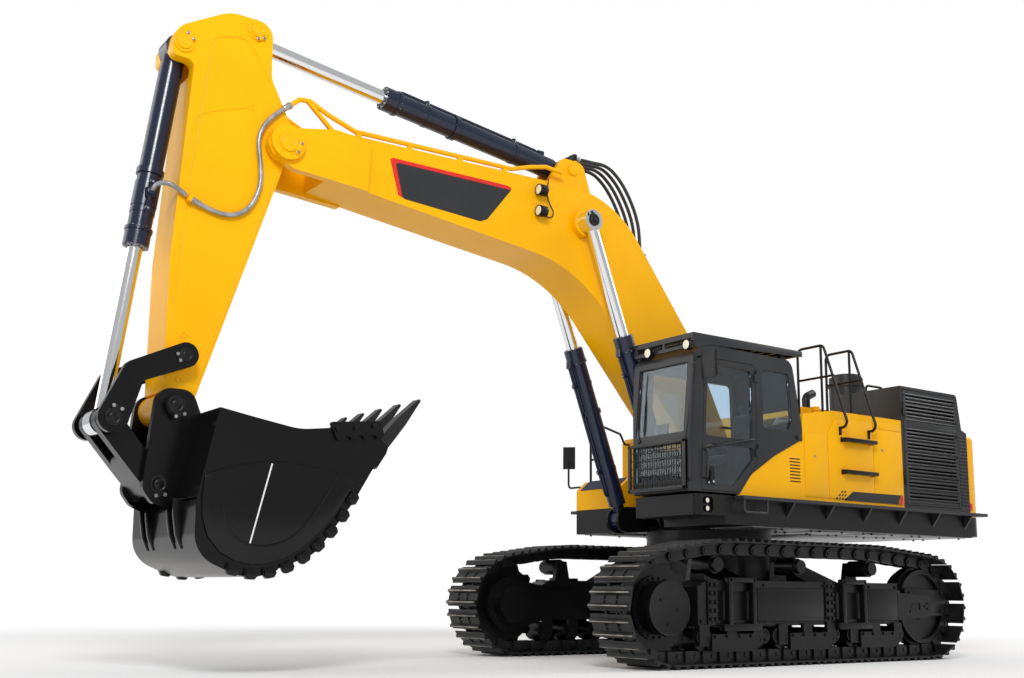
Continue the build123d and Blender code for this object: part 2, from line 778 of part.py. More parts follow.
door_edge = [(door_front, door_bottom), (door_front - 75, door_top, 90), (door_back, door_top, 60),
             (door_back, level(0.216), 80), (door_back + 344, door_bottom, 80)]
door_window = [(door_front - 70, level(0.376), 50), (door_front - 125, door_top - 75, 60),
               (door_back + 65, door_top - 75, 60), (door_back + 65, level(0.376), 50)]
low_window = [(door_front - 64, door_bottom + 70, 40), (door_front - 88, level(0.325), 40),
              (door_back + 65, level(0.325), 40), (door_back + 65, level(0.245), 60),
              (door_back + 380, door_bottom + 70, 50)]
quarter_window = [(door_back - 116, level(0.47), 50), (door_back - 116, level(0.885), 50),
                  (cab_back + 210, level(0.885), 60), (cab_back + 170, level(0.555), 60),
                  (cab_back + 240, level(0.47), 40)]
right_window = [(cab_front - 300, level(0.31), 60), (cab_front - 350, level(0.873), 60),
                (cab_back + 200, level(0.873), 60), (cab_back + 180, level(0.43), 60)]
windscreen = (level(0.395), level(0.873))
front_window = (level(0.08), level(0.32))
rear_window = (level(0.55), level(0.885))
front_pillar = 95
rear_pillar = 130


def grown(points, amount):
    return offset(outline(points), amount)


def make_cab():
    shell = cab_space(0, cab_right, cab_left) - cab_space(cab_wall, cab_right + cab_wall, cab_left - cab_wall)
    left_cut = (cab_left - cab_wall - 1, cab_left + 1)
    right_cut = (cab_right - 1, cab_right + cab_wall + 1)
    shell -= across(grown(door_edge, door_gap), *left_cut)
    shell -= across(outline(quarter_window), *left_cut)
    shell -= across(outline(right_window), *right_cut)
    front_cut = (cab_right + front_pillar, cab_left - front_pillar)
    shell -= block((cab_front - 260, cab_front + 1), front_cut, windscreen)
    shell -= block((cab_front - 100, cab_front + 1), front_cut, front_window)
    shell -= block((cab_back - 1, cab_back + cab_wall + 40), (cab_right + rear_pillar, cab_left - rear_pillar),
                   rear_window)
    # Grab rail up the left front pillar.
    shell += pipe([(cab_front - 45, cab_left - 45, level(0.08)), (cab_front + 2, cab_left + 2, level(0.08)),
                   (cab_front + 2, cab_left + 2, belt), (cab_front - 83, cab_left + 2, level(0.86)),
                   (cab_front - 128, cab_left - 45, level(0.86))], 15, 30)
    # Hinge knuckles above the door's own.
    for z in hinge_heights:
        middle = z + knuckle_half + side_gap + 25
        shell += block((hinge_x - 46, hinge_x - 4), (cab_left - 1, hinge_y - 4), (middle - 25, middle + 25))
        shell += Pos(hinge_x, hinge_y, middle) * Cylinder(knuckle_radius, 50)
    # Rebate for the panel that sweeps forward under the rear quarter.
    return shell - across(offset(sweep_outline(), seat_gap), cab_left - sweep_depth - seat_gap, cab_left + 1)


def make_cab_glass():
    gap = -glass_gap
    middle = cab_left - cab_wall / 2
    quarter = across(grown(quarter_window, gap), middle, middle + glass_thickness)
    middle = cab_right + cab_wall / 2
    right = across(grown(right_window, gap), middle, middle + glass_thickness)
    y_span = (cab_right + front_pillar - gap, cab_left - front_pillar + gap)
    slope = brow_lean / (brow - belt)
    rise = [(cab_front - 30 - slope * (z - belt), z) for z in (windscreen[0] - gap, windscreen[1] + gap)]
    front = profile([rise[0], rise[1], (rise[1][0] - glass_thickness, rise[1][1]),
                     (rise[0][0] - glass_thickness, rise[0][1])], *y_span)
    lower = block((cab_front - 40, cab_front - 40 + glass_thickness), y_span,
                  (front_window[0] - gap, front_window[1] + gap))
    rear = block((cab_back + 25, cab_back + 25 + glass_thickness),
                 (cab_right + rear_pillar - gap, cab_left - rear_pillar + gap),
                 (rear_window[0] - gap, rear_window[1] + gap))
    return loose(quarter, right, front, lower, rear)


def make_cab_door():
    door = profile(door_edge, cab_left - cab_wall, cab_left)
    for window in (door_window, low_window):
        door -= across(outline(window), cab_left - cab_wall - 1, cab_left + 1)
    high, low = level(0.28), level(0.09)
    grip = pipe([(door_front - 45, cab_left - 2, high), (door_front - 45, cab_left + 55, high),
                 (door_front - 36, cab_left + 55, low), (door_front - 36, cab_left - 2, low)], 14, 30)
    door += grip
    for z in hinge_heights:
        span = (z - knuckle_half, z + knuckle_half)
        door += block((door_back, door_back + 34), (cab_left - 1, hinge_y + 8), span)
        door += block((hinge_x, door_back + 5), (hinge_y - 8, hinge_y + 8), span)
        door += Pos(hinge_x, hinge_y, z) * Cylinder(knuckle_radius, 2 * knuckle_half)
    return door


def make_door_glass():
    middle = cab_left - cab_wall / 2
    panes = [across(grown(window, -glass_gap), middle, middle + glass_thickness)
             for window in (door_window, low_window)]
    return loose(*panes)


def roof_height(x):
    return cab_roof - roof_fall * (roof_front - x) / (roof_front - roof_back)


def make_roof_guard():
    high = cab_roof + guard_rise
    y_low, y_high = cab_right, cab_left + 5
    x_low, x_high = cab_back - 40, cab_front - 90
    frame = block((x_low, x_high), (y_low, y_high), (high - 60, high))
    frame -= block((x_low + 50, x_high - 50), (y_low + 50, y_high - 50), (high - 61, high + 1))
    for i in range(1, 12):
        x = x_low + (x_high - x_low) * i / 12
        frame += block((x - 10, x + 10), (y_low + 10, y_high - 10), (high - 40, high - 15))
    # Front rail under the frame with two lamps.
    rail_z = high - 145
    frame += block((x_high - 30, x_high), (y_low + 10, y_high - 10), (rail_z - 20, rail_z + 20))
    for y in (y_low + 30, (y_low + y_high) / 2, y_high - 30):
        frame += block((x_high - 25, x_high - 5), (y - 20, y + 20), (rail_z, high - 30))
    for y in (y_low + 300, y_high - 60):
        frame += bar((x_high - 5, y, rail_z), (x_high + 62, y, rail_z), guard_lamp_radius)
    for x in (cab_back + 230, cab_front - 390):
        for y in (cab_right + 90, cab_left - 90):
            post = [(x - 40, roof_height(x - 40)), (x + 40, roof_height(x + 40)),
                    (x + 40, high - 20), (x - 40, high - 20)]
            frame += profile(post, y - 30, y + 30)
    return frame


def make_front_guard():
    x = cab_front
    y_low, y_high = cab_right + 20, cab_left - 20
    z_low, z_high = cab_floor + 15, level(0.34)
    frame = block((x + 12, x + 36), (y_low, y_high), (z_low, z_high))
    frame -= block((x + 11, x + 37), (y_low + 32, y_high - 32), (z_low + 32, z_high - 32))
    for i in range(1, 12):
        y = y_low + (y_high - y_low) * i / 12
        frame += block((x + 18, x + 28), (y - 5, y + 5), (z_low + 10, z_high - 10))
    for i in range(1, 6):
        z = z_low + (z_high - z_low) * i / 6
        frame += block((x + 20, x + 30), (y_low + 10, y_high - 10), (z - 5, z + 5))
    for y in (y_low + 180, y_high - 180):
        for z in (z_low + 16, z_high - 16):
            frame += block((x, x + 14), (y - 25, y + 25), (z - 15, z + 15))
    return frame


def make_seat():
    middle = (cab_left + cab_right) / 2
    floor = cab_floor + cab_wall
    seat = block((560, 900), (middle - 190, middle + 190), (floor, floor + 330))
    seat += block((500, 1030), (middle - 260, middle + 260), (floor + 330, floor + 460))
    seat += profile([(500, floor + 420), (620, floor + 440), (470, floor + 1120, 50), (350, floor + 1120, 50)],
                    middle - 245, middle + 245)
    return seat


def make_console():
    middle = (cab_left + cab_right) / 2
    floor = cab_floor + cab_wall
    boxes = []
    for side in (-1, 1):
        near, far = sorted((middle + side * 285, middle + side * 400))
        arm = block((520, 1080), (near, far), (floor, floor + 560))
        y = (near + far) / 2
        arm += bar((1010, y, floor + 550), (1030, y, floor + 800), 16)
        arm += bar((1030, y, floor + 780), (1032, y, floor + 860), 28)
        boxes.append(arm)
    pedals = block((1380, 1560), (middle - 160, middle + 160), (floor, floor + 60))
    return loose(*boxes, pedals)


# Boom

def boom_body_outline():
    foot_x, foot_z = boom_foot
    return outline([boom_tip_top, (*boom_bend_top, 1300), (560, 4005, 400), (foot_x - 235, foot_z + 130, 120),
                    (foot_x - 60, foot_z - 240, 120), (foot_x + 230, foot_z - 180, 120), (2429, 4660, 1750),
                    (boom_tip_top[0], 5062)])


clamp_x = stick_cylinder_base[0] - 75
clamp_z = stick_cylinder_base[1] + 185
back_clamp_x = stick_cylinder_base[0] - 1140
back_clamp_z = stick_cylinder_base[1] - 860
back_hose_places = (-150, -50, 50, 150)


def make_boom():
    body = boom_body_outline()
    boom = across(body, -boom_half_width, boom_half_width)
    # Fork plates and bosses at the tip.
    pin_x, pin_z = stick_pin
    ear = outline([(pin_x - 980, pin_z + 230), (pin_x - 560, pin_z + 282, 300), (pin_x + 120, pin_z + 140, 110),
                   (pin_x + 208, pin_z - 10, 110), (pin_x + 150, pin_z - 140, 110), (pin_x - 100, pin_z - 252, 200),
                   (pin_x - 950, pin_z - 315)])
    fork = across(ear, fork_inner, fork_outer)
    fork += turned(stick_pin, 185, fork_inner, fork_boss)
    fork += turned(stick_pin, pin_radius + 10, fork_inner - 95, fork_inner + 1)
    boom += both_sides(fork)
    # Foot tube.
    reach = channel_half_width - side_gap
    boom += turned(boom_foot, 215, -reach, reach)
    boom -= turned(boom_foot, pin_radius + 20 + pin_gap, -reach - 1, reach + 1)
    # Cylinder brackets: bosses on the sides and ears on the top.
    boss = turned(boom_cylinder_eye, 165, boom_half_width - 10, boom_cylinder_y - eye_half_width - side_gap)
    boom += both_sides(boss)
    near = stick_barrel_radius + 8
    base_x, base_z = stick_cylinder_base
    lug = profile([(base_x - 330, 5560), (base_x - 170, base_z + 120, 120), (base_x + 150, base_z + 130, 120),
                   (base_x + 420, 5630), (base_x + 300, 5560)], near, near + 62)
    boom += both_sides(lug)
    boom += turned(stick_cylinder_base, pin_radius, -near - 90, near + 90)
    # Clamps that hold the hoses over the back.
    boom += block((clamp_x, clamp_x + 40), (-near - 62, near + 62), (clamp_z - 45, clamp_z + 30))
    boom += both_sides(block((clamp_x, clamp_x + 40), (near, near + 62), (base_z, clamp_z)))
    boom += block((back_clamp_x - 60, back_clamp_x + 240), (-190, 190), (back_clamp_z - 40, back_clamp_z))
    # Two lamps on each side, on short arms.
    lamp_x, lamp_y = base_x + 620, boom_half_width + boom_lamp_radius + 14
    for z in (base_z - 440, base_z - 698):
        lamp = bar((lamp_x - 40, lamp_y, z), (lamp_x + 36, lamp_y, z), boom_lamp_radius)
        lamp += block((lamp_x - 30, lamp_x - 6), (boom_half_width - 1, lamp_y), (z - 22, z + 22))
        boom += both_sides(lamp)
    return boom


def boom_top(x):
    # Height of the straight top plate, ahead of the bend.
    (x1, z1), (x2, z2) = boom_tip_top, boom_bend_top
    return z1 + (z2 - z1) * (x1 - x) / (x1 - x2)


def make_boom_pipes():
    # Two pipes along the top edges, raised behind the cylinder lugs and bent down to a clamp at the tip.
    base_x, base_z = stick_cylinder_base
    tip_x, tip_z = boom_tip_top
    runs = []
    for side in (-1, 1):
        y = side * boom_pipe_y
        path = [(base_x + 240, y, base_z - 115), (base_x + 480, y, base_z - 95), (base_x + 720, y, base_z - 150)]
        path += [(x, y, boom_top(x) + boom_pipe_lift) for x in (base_x + 980, tip_x - 300)]
        path += [(tip_x + 30, y, tip_z + 170), (tip_x + 240, y, tip_z + 265), (tip_x + 360, y, tip_z + 255),
                 (tip_x + 455, y, tip_z + 170)]
        run = pipe(path, boom_pipe_radius, 60)
        for x in (base_x + 1080, base_x + 1700, base_x + 2360, base_x + 3000):
            clip = [(x - 30, boom_top(x - 30)), (x + 30, boom_top(x + 30)), (x + 30, boom_top(x) + boom_pipe_lift),
                    (x - 30, boom_top(x) + boom_pipe_lift)]
            run += profile(clip, y - 20, y + 20)
        # Strut under the bend at the tip.
        strut = [(tip_x - 60, boom_top(tip_x - 60)), (tip_x, tip_z), (tip_x + 300, tip_z + 262),
                 (tip_x + 240, tip_z + 262)]
        runs.append(run + profile(strut, y - 18, y + 18))
    return loose(*runs)


hose_y = boom_pipe_y
hose_start = (boom_tip_top[0] + 457, boom_tip_top[1] + 168)


def hose_route():
    # From the clamp at the boom's tip, round the stick's pin and forward along the stick's side.
    x, z = stick_pin
    places = [hose_start, (x + 150, z + 290), (x + 285, z + 35), (x + 232, z - 255), (x + 222, z - 515),
              (x + 360, z - 800), (x + 650, z - 885), (x + 930, z - 765)]
    return [(place[0], hose_y, place[1]) for place in places]


def cut_hose(keep_upper):
    # The hose is two pieces that meet beside the pin, one held by the boom and one by the stick.
    x, z = stick_pin
    whole = hose(hose_route(), hose_radius)
    upper = profile([(x - 400, z + 160), (x + 400, z + 160), (x + 400, z + 900), (x - 400, z + 900)],
                    hose_y - 60, hose_y + 60)
    return whole & upper if keep_upper else whole - upper


def make_back_hoses():
    # Four hoses that arch from the cylinder lugs over the boom's back.
    x, z = stick_cylinder_base
    tubes = []
    for y in back_hose_places:
        route = [(clamp_x - seat_gap, y, clamp_z), (x - 330, y, clamp_z), (x - 600, y, z + 206), (x - 810, y, z + 66),
                 (x - 970, y, z - 140), (x - 1090, y, z - 380), (back_clamp_x, y, z - 620),
                 (back_clamp_x, y, back_clamp_z + seat_gap)]
        tubes.append(hose(route, back_hose_radius))
    return loose(*tubes)


# Cylinders

def axis_point(base, eye, distance, y):
    x, z = toward(base, eye, distance)
    return (x, y, z)


def barrel(base, eye, y, length, radius, rod_radius, depth, half_eye, pin, port, port_side):
    # The oil comes in at a block on one side, at a share of the length.
    bottom = 205
    shape = turned(base, eye_radius, y - half_eye, y + half_eye)
    shape += bar(axis_point(base, eye, 60, y), axis_point(base, eye, bottom, y), half_eye - neck_step)
    shape += bar(axis_point(base, eye, bottom, y), axis_point(base, eye, length - 30, y), radius)
    gland = axis_point(base, eye, length - 150, y)
    shape += bar(gland, axis_point(base, eye, length, y), radius + gland_collar)
    for start, thick in ((length - 185, 35), (length * 0.62, 60)):
        collar = bar(axis_point(base, eye, start, y), axis_point(base, eye, start + thick, y), radius + flange_collar)
        shape += collar
    place = Vector(*axis_point(base, eye, length * port, y)) + Vector(*port_side) * radius
    shape += Pos(*place) * Box(90, 80, 90)
    shape -= bar(axis_point(base, eye, depth, y), axis_point(base, eye, length + 10, y), rod_radius + pin_gap)
    return shape - turned(base, pin + pin_gap, y - half_eye - 1, y + half_eye + 1)


def rod(base, eye, y, rod_radius, closed, depth, half_eye):
    length = closed - depth - 30
    shape = turned(eye, eye_radius, y - half_eye, y + half_eye)
    return shape + bar(axis_point(eye, base, 90, y), axis_point(eye, base, length, y), rod_radius)


def make_boom_barrel(side):
    return barrel(boom_cylinder_base, boom_cylinder_eye, side * boom_cylinder_y, boom_barrel_length,
                  boom_barrel_radius, boom_rod_radius, rod_depth, eye_half_width, pin_radius, 0.9, (1, 0, 0))


def make_boom_rod(side):
    return rod(boom_cylinder_base, boom_cylinder_eye, side * boom_cylinder_y, boom_rod_radius, boom_closed,
               rod_depth, eye_half_width)


def make_stick_barrel():
    return barrel(stick_cylinder_base, stick_cylinder_eye, 0, stick_barrel_length, stick_barrel_radius,
                  stick_rod_radius, rod_depth, centre_eye_half_width, pin_radius, 0.14, (0, 0, 1))


def make_stick_rod():
    return rod(stick_cylinder_base, stick_cylinder_eye, 0, stick_rod_radius, stick_closed, rod_depth,
               centre_eye_half_width)


def make_bucket_barrel():
    return barrel(bucket_cylinder_base, link_pin, 0, bucket_barrel_length, bucket_barrel_radius,
                  bucket_rod_radius, rod_depth, centre_eye_half_width, pin_radius, 0.75, (0, 1, 0))


def make_bucket_rod():
    return rod(bucket_cylinder_base, link_pin, 0, bucket_rod_radius, bucket_closed, rod_depth,
               centre_eye_half_width)


# Stick and linkage

def make_stick():
    body = outline([(6432, 6612, 165), (6905, 6612, 420), (7452, 6290, 250), (7482, 6005, 75), (7245, 5985, 70),
                    (7375, 3950, 600), (7370, 2640), (7140, 2560), (7053, 2598), (6262, 5060, 200),
                    (6190, 5560, 160), (6425, 6020, 260)])
    stick = across(body, -stick_half_width, stick_half_width)
    stick += turned(bucket_pin, 150, -stick_half_width, stick_half_width)
    # Pivot tube through the fork.
    reach = fork_inner - side_gap
    stick += turned(stick_pin, 180, -reach, reach)
    stick -= turned(stick_pin, pin_radius + 10 + pin_gap, -reach - 1, reach + 1)
    # Rocker bosses.
    boss = turned(rocker_pin, 125, stick_half_width - 10, rocker_inner - side_gap)
    stick += both_sides(boss)
    stick -= turned(rocker_pin, pin_radius + pin_gap, -rocker_inner, rocker_inner)
    stick -= turned(bucket_pin, pin_radius + pin_gap, -stick_half_width - 1, stick_half_width + 1)
    # Slots in the head for the two cylinder eyes, with the bucket cylinder's pin.
    slot = (-centre_eye_half_width - side_gap, centre_eye_half_width + side_gap)
    eye_x, eye_z = stick_cylinder_eye
    base_x, base_z = bucket_cylinder_base
    stick -= block((eye_x - 600, eye_x + 360), slot, (eye_z - 410, eye_z + 210))
    stick -= block((base_x - 315, base_x + 235), slot, (base_z - 290, base_z + 270))
    stick -= block((eye_x + 300, base_x + 235), slot, (head_web_top, eye_z + 210))
    stick += turned(bucket_cylinder_base, pin_radius, slot[0] - 60, slot[1] + 60)
    # Clamp at the lower end of the hose.
    (x1, y, z1), (x2, y, z2) = hose_route()[-2:]
    tilt = math.degrees(math.atan2(z2 - z1, x2 - x1))
    clamp = Pos(*toward((x1, z1), (x2, z2), between((x1, z1), (x2, z2)) + 20 + seat_gap))
    stick += across(clamp * Rot(0, 0, tilt) * Rectangle(40, 80), stick_half_width - 1, y + 40)
    # Raised doublers round the head's two pins.
    for centre, radius in ((stick_cylinder_eye, 105), (bucket_cylinder_base, 105)):
        stick += both_sides(turned(centre, radius, stick_half_width - 1, stick_half_width + 14))
    return stick


def make_rockers():
    straps = []
    for side in (-1, 1):
        near, far = sorted((side * rocker_inner, side * rocker_outer))
        plate = strap(rocker_pin, 120, rocker_elbow, rocker_middle_radius, near, far)
        plate += strap(rocker_elbow, rocker_middle_radius, link_pin, rocker_boss_radius, near, far)
        inward = sorted((side * (stick_half_width - 90), side * (rocker_inner + 1)))
        plate += turned(rocker_pin, pin_radius, *inward)
        inward = sorted((side * (centre_eye_half_width + 14), side * (rocker_inner + 1)))
        plate += turned(link_pin, pin_radius, *inward)
        straps.append(plate)
    return loose(*straps)


def make_power_link():
    middle = toward(bucket_link_pin, link_pin, between(bucket_link_pin, link_pin) * 0.45)
    slot = centre_eye_half_width + 14
    link = strap(bucket_link_pin, 105, middle, 115, -link_half_width, link_half_width)
    cheek = strap(middle, 115, link_pin, 120, slot, link_half_width)
    link += both_sides(cheek)
    return link - turned(link_pin, pin_radius + pin_gap, -link_half_width - 1, link_half_width + 1)


tooth_heading = toward((0, 0), (tooth_tip[0] - lip_edge[0], tooth_tip[1] - lip_edge[1]), 1)


def lip_point(along, over):
    # A place ahead of the lip's edge and over its lower corner, square to the teeth.
    ahead_x, ahead_z = tooth_heading
    return (lip_edge[0] + ahead_x * along + ahead_z * over, lip_edge[1] + ahead_z * along - ahead_x * over)


def bucket_outline():
    return outline([lip_edge, (5640, 1640, 300), (6030, 1130, 400), (6674, 880, 500), (7200, 1100, 300),
                    (7205, 1620, 100), (7030, 2440), (6660, 2375, 700), (6230, 2305, 700), (5925, 2345),
                    lip_point(0, lip_corner)])


heel_places = [(5665, 1680), (5760, 1510), (5880, 1355), (6010, 1220), (6155, 1105), (6315, 1015), (6490, 962),
               (6670, 948), (6845, 980)]


def make_bucket():
    body = bucket_outline()
    bucket = across(body, -bucket_half_width, bucket_half_width)
    inner = bucket_half_width - bucket_plate
    mouth = outline([(6990, 2100), (6970, 2800), (5200, 2800), (5335, 2235), (5610, 1800)])
    bucket -= across(offset(body, -bucket_plate), -inner, inner) + across(mouth, -inner, inner)
    ear = outline([(7105, 2659, 155), (7444, 2659, 155), (7533, 1700, 120), (7440, 1580, 100), (7195, 1480),
                   (7160, 1700), (7010, 2430)])
    lug = across(ear, ear_inner, ear_outer)
    lug += turned(bucket_pin, ear_boss_radius, ear_outer - 5, ear_boss)
    lug += turned(bucket_pin, pin_radius, stick_half_width - 90, ear_inner + 1)
    # Fins down the back.
    fin = offset(body, fin_height) - offset(body, -bucket_plate / 2)
    fin &= Pos(7150, 1180) * Rectangle(700, 800)
    for y in fin_places:
        lug += across(fin, y - fin_half, y + fin_half)
    # Side cutters with a scalloped lower edge.
    cutter = outline([(5935, 2400, 20), (5375, 2458, 30), (5330, 2290, 40), (5850, 2225, 30)])
    for x in (5460, 5600, 5740):
        cutter -= Pos(x, 2225 + (5850 - x) * 0.125) * Circle(42)
    lug += across(cutter, bucket_half_width - 1, bucket_half_width + cutter_thickness)
    # Wear blocks along the heel of each side plate.
    before, after = [lip_edge] + heel_places, heel_places[1:] + [(7010, 1070)]
    for (x1, z1), (x2, z2), (x3, z3) in zip(before, heel_places, after):
        tilt = math.degrees(math.atan2(z3 - z1, x3 - x1))
        heel = Pos(x2, z2) * Rot(0, 0, tilt) * RectangleRounded(130, 84, 18)
        lug += across(heel, bucket_half_width - 1, bucket_half_width + heel_thickness)
    bucket += both_sides(lug)
    # Tooth adapters that straddle the lip.
    adapter = outline([lip_point(0, -30), lip_point(-60, -55), lip_point(-250, -72), lip_point(-250, -10),
                       lip_point(-200, 0), lip_point(-200, 60), lip_point(-40, 110), lip_point(0, 105)])
    half = tooth_width / 2 - 8
    for y in tooth_places():
        bucket += across(adapter, y - half, y + half)
    return bucket


def tooth_places():
    spacing = (2 * (bucket_half_width - tooth_set_in) - tooth_width) / (tooth_count - 1)
    return [-bucket_half_width + tooth_width / 2 + tooth_set_in + spacing * i for i in range(tooth_count)]


def make_teeth():
    reach = between(lip_edge, tooth_tip)
    shape = outline([lip_point(seat_gap, -30), lip_point(seat_gap, 105), lip_point(reach * 0.5, 85),
                     lip_point(reach, 30), lip_point(reach, 5), lip_point(reach * 0.5, -25)])
    teeth = []
    for y in tooth_places():
        teeth.append(across(shape, y - tooth_width / 2, y + tooth_width / 2))
    return loose(*teeth)


front_reach = link_pin[0] + rocker_boss_radius
origin_shift = -(front_reach + counterweight_rear) / 2


def save(name, shape):
    moved = shape.moved(Location((origin_shift, 0, 0)))
    export_step(moved, os.path.join("parts", name + ".step"))


def save_pair(name, shape):
    save(name + "_l", shape)
    save(name + "_r", mirror(shape, about=Plane.XZ))


os.makedirs("parts", exist_ok=True)
save_pair("track", make_track())
save_pair("sprocket", make_sprocket())
save_pair("idler", make_idler())
save_pair("bottom_rollers", make_bottom_rollers())
save_pair("carrier_rollers", make_carrier_rollers())
save_pair("track_frame", make_track_frame())
save("car_body", make_car_body())
save("slew_ring", make_slew_ring())
save("platform", make_platform())
save("counterweight", make_counterweight())
save("cooling_box", make_cooling_box())
save("cooling_door", make_cooling_door())
save("hood", make_hood())
save("engine_block", make_engine())
save("side_covers", make_side_covers())
save("right_tank", make_tank())
save("right_cover", make_right_cover())
save("step_box", make_step_box())
save("catwalks", make_catwalks())
save("handrails", make_handrails())
save("mirrors", make_mirrors())
save("air_cleaner", make_air_cleaner())
save("exhaust", make_exhaust())
save("cab_shell", make_cab())
save("cab_glass", make_cab_glass())
save("cab_door", make_cab_door())
save("cab_door_glass", make_door_glass())
save("roof_guard", make_roof_guard())
save("front_guard", make_front_guard())
save("operator_seat", make_seat())
save("console", make_console())
save("boom", make_boom())
save("boom_pipes", make_boom_pipes())
save("boom_hoses", make_back_hoses())
save("tip_hose", cut_hose(True))
save("stick_hose", cut_hose(False))
for side, mark in ((1, "_l"), (-1, "_r")):
    save("boom_barrel" + mark, make_boom_barrel(side))
    save("boom_rod" + mark, make_boom_rod(side))
save("stick", make_stick())
save("stick_barrel", make_stick_barrel())
save("stick_rod", make_stick_rod())
save("bucket_barrel", make_bucket_barrel())
save("bucket_rod", make_bucket_rod())
save("rocker_links", make_rockers())
save("power_link", make_power_link())
save("bucket", make_bucket())
save("bucket_teeth", make_teeth())
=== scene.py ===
import bpy
import bmesh
import math
from mathutils import Matrix, Vector


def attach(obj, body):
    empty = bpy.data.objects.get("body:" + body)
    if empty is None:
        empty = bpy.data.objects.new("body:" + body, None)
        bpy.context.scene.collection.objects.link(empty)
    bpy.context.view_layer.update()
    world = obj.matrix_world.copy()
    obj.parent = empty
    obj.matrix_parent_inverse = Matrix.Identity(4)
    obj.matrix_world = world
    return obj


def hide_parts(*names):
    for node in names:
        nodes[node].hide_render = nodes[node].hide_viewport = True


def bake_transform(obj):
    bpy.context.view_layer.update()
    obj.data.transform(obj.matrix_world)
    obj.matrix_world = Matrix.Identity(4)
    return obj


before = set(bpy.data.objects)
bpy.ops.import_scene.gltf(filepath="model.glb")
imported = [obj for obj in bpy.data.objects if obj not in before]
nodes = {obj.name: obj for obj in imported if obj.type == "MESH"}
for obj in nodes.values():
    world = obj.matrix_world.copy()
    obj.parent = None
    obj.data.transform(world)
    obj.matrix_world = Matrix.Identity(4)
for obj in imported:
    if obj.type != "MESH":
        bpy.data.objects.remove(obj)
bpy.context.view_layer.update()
scene = bpy.context.scene
scene.view_settings.view_transform = "Standard"
slewX = -2.118                       # the slewing axis, along X
bite = 0.001                         # how deep a thin plate sits in what carries it


def at(x, y, z):                     # metres from the slewing axis, at ground level
    return Vector((x + slewX, y, z))


# camera, solved from the photo's vanishing lines
cameraView = {
    "place": (8.866, 11.095, 0.811),
    "turn": 35.216,                  # degrees off the side view
    "pitch": 9.537,
    "roll": 0.589,
    "lens": 41.34,
    "shiftY": 0.0528,
}


def makeCamera():
    turn, pitch, roll = (math.radians(cameraView[key]) for key in ("turn", "pitch", "roll"))
    ahead = Vector((-math.sin(turn) * math.cos(pitch), -math.cos(turn) * math.cos(pitch), math.sin(pitch)))
    right = Vector((-math.cos(turn), math.sin(turn), 0))
    up = right.cross(ahead)
    rightRolled = right * math.cos(roll) + up * math.sin(roll)
    upRolled = up * math.cos(roll) - right * math.sin(roll)
    bpy.ops.object.camera_add()
    camera = bpy.context.object
    camera.name = "photoCamera"
    axes = Matrix((rightRolled, upRolled, -ahead)).transposed()
    camera.matrix_world = Matrix.Translation(cameraView["place"]) @ axes.to_4x4()
    camera.data.lens = cameraView["lens"]
    camera.data.sensor_width = 36
    camera.data.shift_y = cameraView["shiftY"]
    camera.data.clip_end = 400
    scene.camera = camera


# studio light, plain and soft, on a pale floor that fades to white
studio = {
    "world": 0.55,
    "lamps": [                       # name, place, aim, size, watts
        ("keyLamp", (10.0, 12.0, 12.0), (-1.0, 0.0, 2.5), 4.0, 1550),
        ("fillLamp", (12.0, -8.0, 8.0), (0.0, 0.0, 2.5), 9.0, 450),
        ("backLamp", (-12.0, 3.0, 12.0), (-1.0, 0.0, 3.0), 8.0, 800),
    ],
    "floorSize": 160,
    "floorColor": (0.92, 0.92, 0.92),
    "fadeFrom": 7.0,                 # metres from the middle where the floor starts to fade
    "fadeTo": 15.0,
}


def makeWorld():
    world = bpy.data.worlds.new("studioWorld")
    scene.world = world
    world.use_nodes = True
    tree = world.node_tree
    tree.nodes.clear()
    path = tree.nodes.new("ShaderNodeLightPath")
    shown = tree.nodes.new("ShaderNodeMath")
    shown.operation = "MAXIMUM"
    tree.links.new(path.outputs["Is Camera Ray"], shown.inputs[0])
    tree.links.new(path.outputs["Is Transmission Ray"], shown.inputs[1])
    mix = tree.nodes.new("ShaderNodeMixShader")
    tree.links.new(shown.outputs[0], mix.inputs["Fac"])
    for socket, strength in ((1, studio["world"]), (2, 1.0)):
        sky = tree.nodes.new("ShaderNodeBackground")
        sky.inputs["Color"].default_value = (1, 1, 1, 1)
        sky.inputs["Strength"].default_value = strength
        tree.links.new(sky.outputs[0], mix.inputs[socket])
    out = tree.nodes.new("ShaderNodeOutputWorld")
    tree.links.new(mix.outputs[0], out.inputs["Surface"])


def makeFloor():
    bpy.ops.mesh.primitive_plane_add(size=studio["floorSize"])
    floor = bpy.context.object
    floor.name = "studioFloor"
    paper = bpy.data.materials.new("paleFloor")
    paper.use_nodes = True
    tree = paper.node_tree
    shader = tree.nodes["Principled BSDF"]
    shader.inputs["Base Color"].default_value = (*studio["floorColor"], 1)
    shader.inputs["Roughness"].default_value = 0.9
    coords = tree.nodes.new("ShaderNodeTexCoord")
    far = tree.nodes.new("ShaderNodeVectorMath")
    far.operation = "LENGTH"
    tree.links.new(coords.outputs["Object"], far.inputs[0])
    fade = tree.nodes.new("ShaderNodeMapRange")
    fade.interpolation_type = "SMOOTHSTEP"
    fade.inputs["From Min"].default_value = studio["fadeFrom"]
    fade.inputs["From Max"].default_value = studio["fadeTo"]
    tree.links.new(far.outputs["Value"], fade.inputs["Value"])
    white = tree.nodes.new("ShaderNodeEmission")
    mix = tree.nodes.new("ShaderNodeMixShader")
    tree.links.new(fade.outputs["Result"], mix.inputs["Fac"])
    tree.links.new(shader.outputs[0], mix.inputs[1])
    tree.links.new(white.outputs[0], mix.inputs[2])
    tree.links.new(mix.outputs[0], tree.nodes["Material Output"].inputs["Surface"])
    floor.data.materials.append(paper)


